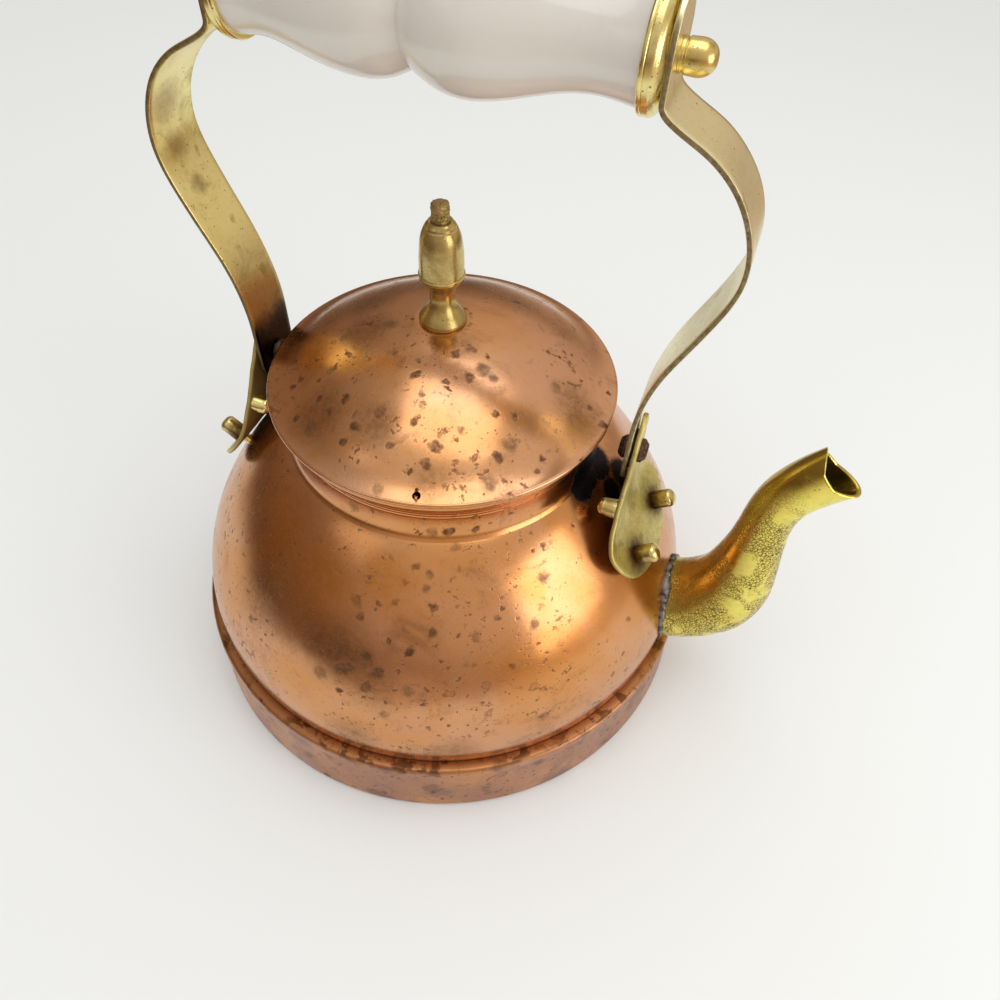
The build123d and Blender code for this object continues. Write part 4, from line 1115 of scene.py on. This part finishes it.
        rough = np.clip((stub[..., 2] - self.top - 30) / 0.6, 0, 1) * np.hypot(stub[..., 0], stub[..., 1]) / 2.5
        thread = 0.10 * np.sin((stub[..., 2] * 2 * math.pi + np.arctan2(stub[..., 1], stub[..., 0])) / 0.9)
        push = rough * (thread + 0.10 * ripple(stub, 0.9, 22) - 0.1)
        bench.piece("knob_stub", stub + normals(stub) * push[..., None], STUB_BRASS, "lid", "finial_stud", sharp=60)
        bench.dress(INNER_COPPER, "lid_flange")
        bench.dress(KNOB_BRASS, "finial_washer", "finial_nut")


@dataclass
class Spout:
    """Brass swan-neck spout and the solder at its root."""

    path: tuple = ((76.7, 37.6), (89.6, 41.0), (100.0, 50.5), (104.2, 68.2), (104.5, 86.6), (106.2, 102.3),
                   (113.0, 114.2), (120.4, 122.2))
    depths: tuple = (15.6, 14.2, 13.7, 10.6, 7.8, 7.5, 8.4, 9.4)
    widths: tuple = (15.4, 14.0, 13.4, 10.4, 7.6, 7.0, 6.2, 5.2)
    wall: float = 1.1
    tip: tuple = (110.2, 125.4)
    notch: tuple = (111.8, 119.6)
    step: tuple = (115.6, 115.9)
    lip: tuple = (125.3, 112.4)
    columns: int = 120
    bead_r: float = 1.0

    def tube(self, inset: float, samples: int = 2600) -> Array:
        """Tube's fine grid: an ellipse, width by depth, carried along the centre line square to it."""
        line = spline([(*p, w, d) for p, w, d in zip(self.path, self.widths, self.depths)], samples)
        run = np.gradient(line[:, :2], axis=0)
        run /= np.linalg.norm(run, axis=1, keepdims=True)
        angle = np.linspace(0, 2 * math.pi, self.columns, endpoint=False)
        depth = (line[:, 3:4] - inset) * np.sin(angle)
        width = (line[:, 2:3] - inset) * np.cos(angle)
        return np.stack([line[:, :1] - run[:, 1:] * depth, width, line[:, 1:2] + run[:, :1] * depth], axis=-1)

    def beyond_mouth(self, grid: Array) -> Array:
        """Whether places lie past the mouth's cut, a broken line in side view from tip to lip."""
        x, z = grid[..., 0], grid[..., 2]
        cut = (self.tip, self.notch, self.step, self.lip)
        edge_x, edge_z = zip(*cut)
        above = z > np.interp(x, edge_x, edge_z)
        return (above & (x >= self.tip[0])) | (z > self.tip[1])

    def skin(self, inset: float, vessel: Vessel, rows: Array) -> Array:
        """Grid from just inside the body to the mouth; each column is cut at its own places."""
        fine = self.tube(inset)
        outside = np.hypot(fine[..., 0], fine[..., 1]) > vessel.radius_at(fine[..., 2]) - 0.9
        first = np.argmax(outside, axis=0)
        last = np.argmax(self.beyond_mouth(fine) & (fine[..., 2] > 105), axis=0)
        last = np.where(last == 0, len(fine) - 1, last)
        place = first + (last - first) * rows[:, None]
        low = np.floor(place).astype(int)
        high = np.minimum(low + 1, len(fine) - 1)
        column = np.arange(self.columns)
        rest = (place - low)[..., None]
        return fine[low, column] * (1 - rest) + fine[high, column] * rest

    def shell(self, vessel: Vessel) -> Array:
        """Outer skin out to the mouth, a slightly swollen lip, and the inner skin back."""
        rows = 1 - (1 - np.linspace(0, 1, 130)) ** 1.15
        outer = self.skin(0.0, vessel, rows)
        calm = np.clip(1.3 - rows * 1.3, 0, 1)[:, None]
        outer = outer + normals(outer) * (0.10 * ripple(outer, 15, 31) * calm)[..., None]
        inner = self.skin(self.wall, vessel, rows)[::-1]
        run = outer[-1] - outer[-3]
        run /= np.maximum(np.linalg.norm(run, axis=-1, keepdims=True), 1e-6)
        lip = np.stack([outer[-1] * (1 - k) + inner[0] * k + run * 0.35 * math.sin(math.pi * k)
                        for k in (0.25, 0.5, 0.75)])
        return np.concatenate([outer, lip, inner])

    def solder(self, vessel: Vessel) -> Array:
        """Lumpy bead on the line where tube and body meet: a small circle carried round it."""
        fine = self.tube(0.0)
        outside = np.hypot(fine[..., 0], fine[..., 1]) > vessel.radius_at(fine[..., 2]) + 0.1
        first = np.argmax(outside, axis=0)
        column = np.arange(self.columns)
        centre = fine[first, column]
        tube_out = centre - np.array([89.0, 0.0, 40.8])
        tube_out[:, 0] *= 0.2
        tube_out /= np.linalg.norm(tube_out, axis=1, keepdims=True)
        body_out = centre * (1, 1, 0.12)
        body_out /= np.linalg.norm(body_out, axis=1, keepdims=True)
        angle = np.linspace(0, 2 * math.pi, 18, endpoint=False)[:, None]
        turn = np.linspace(0, 2 * math.pi, self.columns, endpoint=False)
        blob = np.exp(-((turn - 2.15) / 0.42) ** 2)
        lumps = self.bead_r * (1 + 0.28 * ripple(centre, 6, 41) + 0.22 * ripple(centre, 2.6, 42) + 0.95 * blob)
        ring = np.cos(angle)[..., None] * body_out + np.sin(angle)[..., None] * tube_out
        return centre + ring * lumps[None, :, None]

    def build(self, bench: Bench, vessel: Vessel) -> None:
        """Makes the spout and its solder."""
        bench.piece("brass_spout", self.shell(vessel), SPOUT_BRASS, "kettle", "spout_shell", loop=True, sharp=50)
        bench.piece("solder_bead", self.solder(vessel), SOLDER, "kettle", "spout_solder", loop=True, sharp=80)


class Side(Enum):
    """The two ends of the handle: its CAD name and the sign of x there."""

    SPOUT = ("spout_side", 1.0)
    BACK = ("back", -1.0)


@dataclass
class Brackets:
    """Brass plates with pivots, nuts and stop pegs."""

    tongue_x: float = 61.2
    thickness: float = 1.4
    stand: float = 0.7
    bend_z: float = 93.0
    heights: tuple = (84.0, 80.0, 74.0, 68.0, 62.0, 56.0)
    top_z: float = 119.3
    tip_r: float = 5.0
    leaf_y: float = -3.5
    leaf_z: float = 81.5
    leaf_half_w: float = 23.0
    leaf_half_h: float = 13.0
    bolt_z: float = 76.6
    bolt_spacing: float = 23.8
    cap_r: float = 3.0
    cap_l: float = 7.2
    peg: tuple = (-15.0, 94.4)
    peg_r: float = 3.1
    peg_l: float = 5.8
    pivot_z: float = 106.0
    rivet_r: float = 3.6
    rivet_h: float = 2.4

    def side(self, vessel: Vessel) -> Array:
        """Middle line in side view: upright tongue, then down over the shoulder, 0.7 mm clear of the body."""
        mid_x = self.tongue_x + self.thickness / 2
        z = np.array(self.heights)
        lean = vessel.radius_at(z + 0.5) - vessel.radius_at(z - 0.5)
        x = vessel.radius_at(z) + (self.stand + self.thickness / 2) * np.hypot(1, lean)
        low = spline([(mid_x, self.bend_z), *zip(x, z)], 160, start=(0.0, -1.0))
        high = np.column_stack([np.full(40, mid_x), np.linspace(self.top_z, self.bend_z, 40, endpoint=False)])
        return np.concatenate([high, low])

    def outline(self, z: Array) -> tuple[Array, Array]:
        """Left and right edge at heights: the tip's circle, the leaf's ellipse and the lines that wrap both."""
        angle = np.linspace(0, 2 * math.pi, 400)
        y = np.concatenate([self.tip_r * np.cos(angle), self.leaf_y + self.leaf_half_w * np.cos(angle)])
        h = np.concatenate([self.top_z - self.tip_r + self.tip_r * np.sin(angle),
                            self.leaf_z + self.leaf_half_h * np.sin(angle)])
        edges = []
        for sign in (-1.0, 1.0):
            chain: list[tuple[float, float]] = []
            for spot in sorted(zip(h, sign * y)):
                while len(chain) > 1 and ((chain[-1][0] - chain[-2][0]) * (spot[1] - chain[-2][1])
                                          >= (chain[-1][1] - chain[-2][1]) * (spot[0] - chain[-2][0])):
                    chain.pop()
                chain.append(spot)
            heights, reach = np.array(chain).T
            edges.append(sign * np.interp(z, heights, reach))
        return edges[0], edges[1]

    def plate(self, vessel: Vessel) -> Array:
        """Plate: the bent strip between the outline's two edges, slightly beaten."""
        line = self.side(vessel)
        bottom = self.leaf_z - self.leaf_half_h
        share = (1 - np.cos(np.linspace(0, math.pi, 90))) / 2
        z = self.top_z - 0.02 + (bottom + 0.02 - self.top_z + 0.02) * share
        x = np.interp(z, line[::-1, 1], line[::-1, 0])
        run = np.gradient(np.column_stack([x, z]), axis=0)
        run /= np.linalg.norm(run, axis=1, keepdims=True)
        middle = np.column_stack([x, 0 * x, z])
        normal = np.column_stack([-run[:, 1], 0 * x, run[:, 0]])
        left, right = self.outline(z)
        grid = strip(middle, normal, left, right, self.thickness, 0.5, 26)
        grid[..., 0] += 0.10 * ripple(grid, 9, 51)
        return closed_ends(grid)

    def frame_at(self, z: float, vessel: Vessel) -> tuple[Array, Array]:
        """Place on the plate's outer face at a height, and the direction out of it."""
        line = self.side(vessel)
        k = int(np.argmin(np.abs(line[:, 1] - z)))
        run = line[k + 1] - line[k - 1]
        out = np.array([-run[1], 0, run[0]]) / np.linalg.norm(run)
        return np.array([line[k, 0], 0, line[k, 1]]) + out * self.thickness / 2, out

    def cap(self, length: float, radius: float, taper: float = 0.0) -> Array:
        """Round-ended nut or peg: a straight or tapered side, then a quarter ellipse to the tip, a little worn."""
        dome = radius * 0.62
        angle = np.linspace(0, math.pi / 2, 16)[:, None]
        end = radius - taper
        tip = np.column_stack([end * (0.25 + 0.75 * np.cos(angle)), length - dome + dome * np.sin(angle)])
        side = divided(np.array([[radius, 0.15], [end, length - dome]]), 0.3)
        line = np.concatenate([[[0.0, -0.2], [radius - 0.15, -0.2]], side, tip[1:], [[0.0, length]]])
        grid = turned(line, 48)
        middle = np.clip(np.hypot(grid[..., 0], grid[..., 1]) / radius, 0, 1) ** 2
        return grid + normals(grid) * (0.06 * ripple(grid, 3, 55) * middle)[..., None]

    def rivet(self) -> Array:
        """Rivet along x: head inside the strap, shank, and a worn head outside the plate."""
        inner, outer = self.tongue_x - 2.3, self.tongue_x + self.thickness
        places = [(0.0, inner - self.rivet_h, 0), (self.rivet_r * 0.7, inner - self.rivet_h, 0.8),
                  (self.rivet_r, inner - self.rivet_h * 0.4, 0.7), (self.rivet_r, inner, 0.1), (2.2, inner, 0),
                  (2.2, outer, 0), (self.rivet_r, outer, 0.1), (self.rivet_r, outer + self.rivet_h * 0.45, 0.7),
                  (self.rivet_r * 0.62, outer + self.rivet_h, 0.8), (0.0, outer + self.rivet_h * 0.95, 0)]
        grid = turned(divided(rounded(places, 6), 0.35), 48, Axis.ALONG, (0, 0, self.pivot_z))
        head = np.clip(np.hypot(grid[..., 1], grid[..., 2] - self.pivot_z) - 2.25, 0, 1) / 1.35
        return grid + normals(grid) * (head * 0.16 * ripple(grid, 1.8, 57))[..., None]

    def build(self, bench: Bench, vessel: Vessel) -> None:
        """Makes both brackets; the back one is the mirror image of the spout's."""
        plate = self.plate(vessel)
        root, out = self.frame_at(self.bolt_z, vessel)
        roots = [root + (0, self.leaf_y + k * self.bolt_spacing / 2, 0) for k in (-1, 1)]
        caps = [aimed(self.cap(self.cap_l, self.cap_r), spot, out) for spot in roots]
        peg_root, _ = self.frame_at(self.peg[1], vessel)
        peg = aimed(self.cap(self.peg_l, self.peg_r, 0.5),
                    (peg_root[0] - self.thickness, self.peg[0], self.peg[1]), (-1, 0, 0))
        rivet = self.rivet()
        for side in Side:
            name, sign = side.value
            flip = np.array([sign, 1.0, 1.0])
            # Darker rings round each nut's root, on the plate and on the nut.
            stains = tuple((tuple(spot * flip), size, tone) for spot in roots
                           for size, tone in ((7.0, Tone.OLIVE), (4.9, Tone.DARK)))
            leaf = replace(PLATE_BRASS, name=f"plate_brass_{name}", stains=stains)
            brass = replace(CAP_BRASS, name=f"nut_brass_{name}", stains=stains)
            bench.piece(f"plate_{name}", plate * flip, leaf, "kettle", f"bracket_plate_{name}", sharp=50)
            for number, cap in enumerate(caps):
                bench.piece(f"nut_{name}_{number + 1}", cap * flip, brass, "kettle", f"bracket_nuts_{name}")
            bench.piece(f"peg_{name}", peg * flip, CAP_BRASS, "kettle", f"bracket_peg_{name}")
            bench.piece(f"rivet_{name}", rivet * flip, DARK_IRON, "kettle", f"pivot_rivet_{name}", sharp=60)
            bench.dress(CAP_BRASS, f"bracket_bolts_{name}")
            bench.dress(DARK_IRON, f"pivot_washer_{name}")


@dataclass
class Handle:
    """Bent brass straps, porcelain grip, end discs and dome nuts."""

    pivot_z: float = 106.0
    strap_x: float = 59.85
    strap_t: float = 1.3
    strap_w: float = 18.2
    straight: float = 12.0
    curve: tuple = ((62.2, 135.5), (70.4, 156.0), (76.0, 173.0), (71.8, 188.2), (62.0, 198.0), (54.2, 202.2))
    bend_z: float = 206.0
    grip_z: float = 212.2
    above: float = 11.3
    half: float = 45.7
    disc_t: float = 4.5
    disc_r: float = 11.8
    nut_r: float = 3.5
    nut_l: float = 7.3

    def strap(self) -> Array:
        """Strap: rounded foot, straight at the pivot, an S swung outwards, and upright with a rounded top."""
        top_x = self.half + self.disc_t + self.strap_t / 2
        foot_z, top_z = self.pivot_z - self.strap_w / 2, self.grip_z + self.above
        bend = spline([(self.strap_x, self.pivot_z + self.straight), *self.curve, (top_x, self.bend_z)], 200,
                      start=(0.0, 1.0), end=(0.0, 1.0))
        line = np.concatenate([[(self.strap_x, foot_z)], bend, [(top_x, top_z)]])
        line = divided(line, 0.6)
        gone = np.concatenate([[0], np.cumsum(np.linalg.norm(np.diff(line, axis=0), axis=1))])
        ends = (1 - np.cos(np.linspace(0, math.pi / 2, 16))) * self.strap_w / 2
        where = np.concatenate([ends, np.linspace(ends[-1], gone[-1] - ends[-1], 190)[1:-1], gone[-1] - ends[::-1]])
        where = np.clip(where, 0.015, gone[-1] - 0.015)
        x, z = np.interp(where, gone, line[:, 0]), np.interp(where, gone, line[:, 1])
        run = np.gradient(np.column_stack([x, z]), axis=0)
        run /= np.linalg.norm(run, axis=1, keepdims=True)
        near_end = np.minimum(where, gone[-1] - where)
        radius = self.strap_w / 2
        half = np.sqrt(np.maximum(radius ** 2 - np.maximum(radius - near_end, 0) ** 2, 0.01))
        grid = strip(np.column_stack([x, 0 * x, z]), np.column_stack([run[:, 1], 0 * x, -run[:, 0]]), -half, half,
                     self.strap_t, 0.3, 14)
        free = np.clip((grid[..., 2] - self.pivot_z - 12) / 15, 0, 1) * np.clip((200 - grid[..., 2]) / 10, 0, 1)
        grid[..., 0] += free * 0.22 * ripple(grid, 28, 61)
        grid[..., 1] += free * 0.16 * ripple(grid, 20, 62)
        return closed_ends(grid)

    def grip(self) -> Array:
        """Porcelain grip: a side line with two swellings and a crease, turned about x, with a bore."""
        back = spline([(-self.half, 10.6), (-40.0, 10.1), (-31.0, 11.9), (-17.0, 14.4), (-8.0, 13.1),
                       (-3.9, 10.85)], 90)
        front = spline([(-3.7, 10.85), (1.2, 13.4), (9.0, 14.9), (21.0, 12.6), (37.0, 9.6), (self.half, 10.6)], 110)
        line = np.concatenate([back, [[-3.8, 10.78]], front])
        line = np.concatenate([[(-self.half, 3.4)], line, [(self.half, 3.4)]])[:, ::-1]
        grid = turned(line, 160, Axis.ALONG, (0, 0, self.grip_z))
        radial = grid - np.array([0, 0, self.grip_z])
        radial[..., 0] = 0
        radial /= np.linalg.norm(radial, axis=-1, keepdims=True)
        inside = (self.half - np.abs(grid[..., 0])) / 8
        return grid + radial * (np.clip(inside, 0, 1) * 0.12 * ripple(grid, 22, 71))[..., None]

    def disc(self) -> Array:
        """End disc: side wall with a fine line near the grip, and a broad rounded bevel towards the strap."""
        start, end, radius = self.half, self.half + self.disc_t, self.disc_r
        places = [(2.5, start, 0), (radius - 0.3, start, 0.2), (radius, start + 0.35, 0.2), (radius, start + 0.8, 0.1),
                  (radius - 0.18, start + 1.0, 0.1), (radius, start + 1.2, 0.1), (radius, start + 2.5, 0.8),
                  (radius - 0.7, start + 3.6, 1.6), (radius - 2.6, end, 1.0), (2.5, end, 0)]
        return turned(divided(rounded(places, 7), 0.5), 128, Axis.ALONG, (0, 0, self.grip_z))

    def dome_nut(self) -> Array:
        """Dome nut: narrow washer foot, short side wall, and a full round end."""
        start, radius, length = self.half + self.disc_t + self.strap_t, self.nut_r, self.nut_l
        foot = rounded([(0.0, start, 0), (radius * 0.94, start, 0.15), (radius * 0.94, start + 0.8, 0.15),
                        (radius * 0.86, start + 1.0, 0.1), (radius * 0.97, start + 1.3, 0.2),
                        (radius, start + 3.6, 0)], 6)
        angle = np.linspace(0, math.pi / 2, 20)[1:]
        dome = length - 3.6
        end = np.column_stack([radius * np.cos(angle) ** 0.8, start + 3.6 + dome * np.sin(angle)])
        end[-1, 0] = 0.0
        return turned(np.concatenate([divided(foot, 0.4), end]), 64, Axis.ALONG, (0, 0, self.grip_z))

    def build(self, bench: Bench) -> None:
        """Makes the grip and both ends; the back end is the mirror image."""
        bench.piece("porcelain_grip", self.grip(), PORCELAIN, "handle", "grip", loop=True, sharp=50)
        bench.dress(DARK_IRON, "grip_rod")
        strap, disc, nut = self.strap(), self.disc(), self.dome_nut()
        # The back strap's finish: painted shade turns it brown and then black towards its foot.
        burnt_and_shaded = Brass("shaded_strap_brass", clean=(0.92, 0.82, 0.38), second=(0.86, 0.73, 0.28),
                      patina=(0.46, 0.33, 0.09), patina_share=0.36, painted_shade_below=131.0, grain=0.005,
                      darkened_faces=Face.EDGES, stains=STRAP_STAINS_AND_SHADE)
        for side, brass in ((Side.SPOUT, STRAP_BRASS), (Side.BACK, burnt_and_shaded)):
            name, sign = side.value
            flip = np.array([sign, 1.0, 1.0])
            bench.piece(f"strap_{name}", strap * flip, brass, "handle", f"handle_strap_{name}", sharp=55)
            bench.piece(f"disc_{name}", disc * flip, CAP_BRASS, "handle", f"ferrule_{name}", loop=True, sharp=45)
            bench.piece(f"dome_{name}", nut * flip, CAP_BRASS, "handle", f"dome_nut_{name}", sharp=45)


# Studio


@dataclass
class Lamp:
    """A soft rectangular lamp that looks at the kettle."""

    name: str
    place: Colour
    size: tuple[float, float]
    brightness: float

    def hang(self) -> None:
        """Makes the lamp; its power follows from brightness and size."""
        light = bpy.data.lights.new(self.name, "AREA")
        light.shape = "RECTANGLE"
        light.size, light.size_y = self.size
        light.energy = self.brightness * math.pi * self.size[0] * self.size[1]
        lamp = bpy.data.objects.new(self.name, light)
        bpy.context.scene.collection.objects.link(lamp)
        back = np.array(self.place) - (0.0, 0.0, 0.07)
        back /= np.linalg.norm(back)
        side = np.cross((0.0, 0.0, 1.0), back) if abs(back[2]) < 0.98 else np.array([1.0, 0.0, 0.0])
        side /= np.linalg.norm(side)
        turn = Matrix((side, np.cross(back, side), back)).transposed().to_4x4()
        lamp.matrix_world = Matrix.Translation(self.place) @ turn


@dataclass
class Studio:
    """Pale table, soft lamps, dim room and the photograph's camera."""

    camera_place: Colour = (0.0715, -0.1632, 0.26835)
    right: Colour = (0.9392, 0.3416, 0.0358)
    down: Colour = (0.2839, -0.7133, -0.6407)
    forward: Colour = (-0.1933, 0.6119, -0.7669)
    focal_px: float = 760.0
    picture_px: float = 1000.0
    floor_reach: float = 6.0
    even_room: Colour = (0.78, 0.78, 0.775)
    seen_room: Colour = (0.74, 0.74, 0.725)
    dim_room: Colour = (0.20, 0.12, 0.06)
    light_room: Colour = (0.82, 0.72, 0.60)
    room_stops: tuple = ((0.0, (0.26, 0.18, 0.12)), (0.06, (0.37, 0.27, 0.19)), (0.22, (0.60, 0.49, 0.40)),
                         (0.65, (0.72, 0.65, 0.58)), (1.0, (0.90, 0.88, 0.85)))
    lamps: tuple = field(default_factory=lambda: (
        Lamp("top_lamp", (0.08, 0.02, 1.05), (0.75, 0.75), 1.3),
        Lamp("window_lamp", (0.78, -0.22, 0.30), (0.52, 0.50), 2.2),
        Lamp("left_lamp", (-0.55, -0.75, 0.85), (0.45, 0.45), 0.5),
    ))

    def table(self) -> None:
        """Floor: a flat grid, far wider than the view."""
        mesh = bpy.data.meshes.new("table_top")
        reach = self.floor_reach
        corners = [(-reach, -reach, 0), (reach, -reach, 0), (reach, reach, 0), (-reach, reach, 0)]
        mesh.from_pydata(corners, [], [(0, 1, 2, 3)])
        mesh.materials.append(Table("table_paint").material())
        top = bpy.data.objects.new("table_top", mesh)
        bpy.context.scene.collection.objects.link(top)

    def world(self) -> None:
        """Dim at the horizon, to the left dimmer and to the right lighter; the camera sees an even pale room."""
        world = bpy.data.worlds.new("room")
        bpy.context.scene.world = world
        world.use_nodes = True
        graph = Graph(world.node_tree)
        aim = graph.add("ShaderNodeTexCoord").outputs["Generated"]
        across, _, height = graph.parts(aim)
        mirrored = graph.add("ShaderNodeValToRGB", {"stops": self.room_stops}, {0: height}).outputs[0]
        mirrored = graph.mix((across * -1).rise(-0.1, 0.85) * 0.8, mirrored, self.dim_room)
        mirrored = graph.mix(across.rise(0.0, 0.85) * 0.6, mirrored, self.light_room)
        path = graph.add("ShaderNodeLightPath").outputs
        colour = graph.mix(path["Is Glossy Ray"], self.even_room, mirrored)
        colour = graph.mix(path["Is Camera Ray"], colour, self.seen_room)
        ground = graph.add("ShaderNodeBackground", {}, {"Color": colour, "Strength": 1.0})
        graph.add("ShaderNodeOutputWorld", {}, {"Surface": ground.outputs[0]})

    def camera(self) -> None:
        """Camera at the photograph's place: its axes are the rows right, up and back."""
        data = bpy.data.cameras.new("camera")
        data.sensor_width = 36.0
        data.lens = 36.0 * self.focal_px / self.picture_px
        data.clip_start = 0.01
        eye = bpy.data.objects.new("camera", data)
        bpy.context.scene.collection.objects.link(eye)
        up, back = [-v for v in self.down], [-v for v in self.forward]
        turn = Matrix((self.right, up, back)).transposed().to_4x4()
        eye.matrix_world = Matrix.Translation(self.camera_place) @ turn
        bpy.context.scene.camera = eye

    def build(self) -> None:
        """Sets the whole studio."""
        bpy.context.scene.view_settings.view_transform = "Standard"
        self.table()
        self.world()
        for lamp in self.lamps:
            lamp.hang()
        self.camera()


def main() -> None:
    """Builds every sub-assembly in order."""
    logging.basicConfig(level=logging.INFO, format="%(name)s: %(message)s")
    bench = Bench()
    vessel = Vessel()
    vessel.build(bench)
    Lid().build(bench)
    Spout().build(bench, vessel)
    Brackets().build(bench, vessel)
    Handle().build(bench)
    Studio().build()
    LOG.info("%d new pieces", bench.count)


if __name__ == "__main__":
    main()
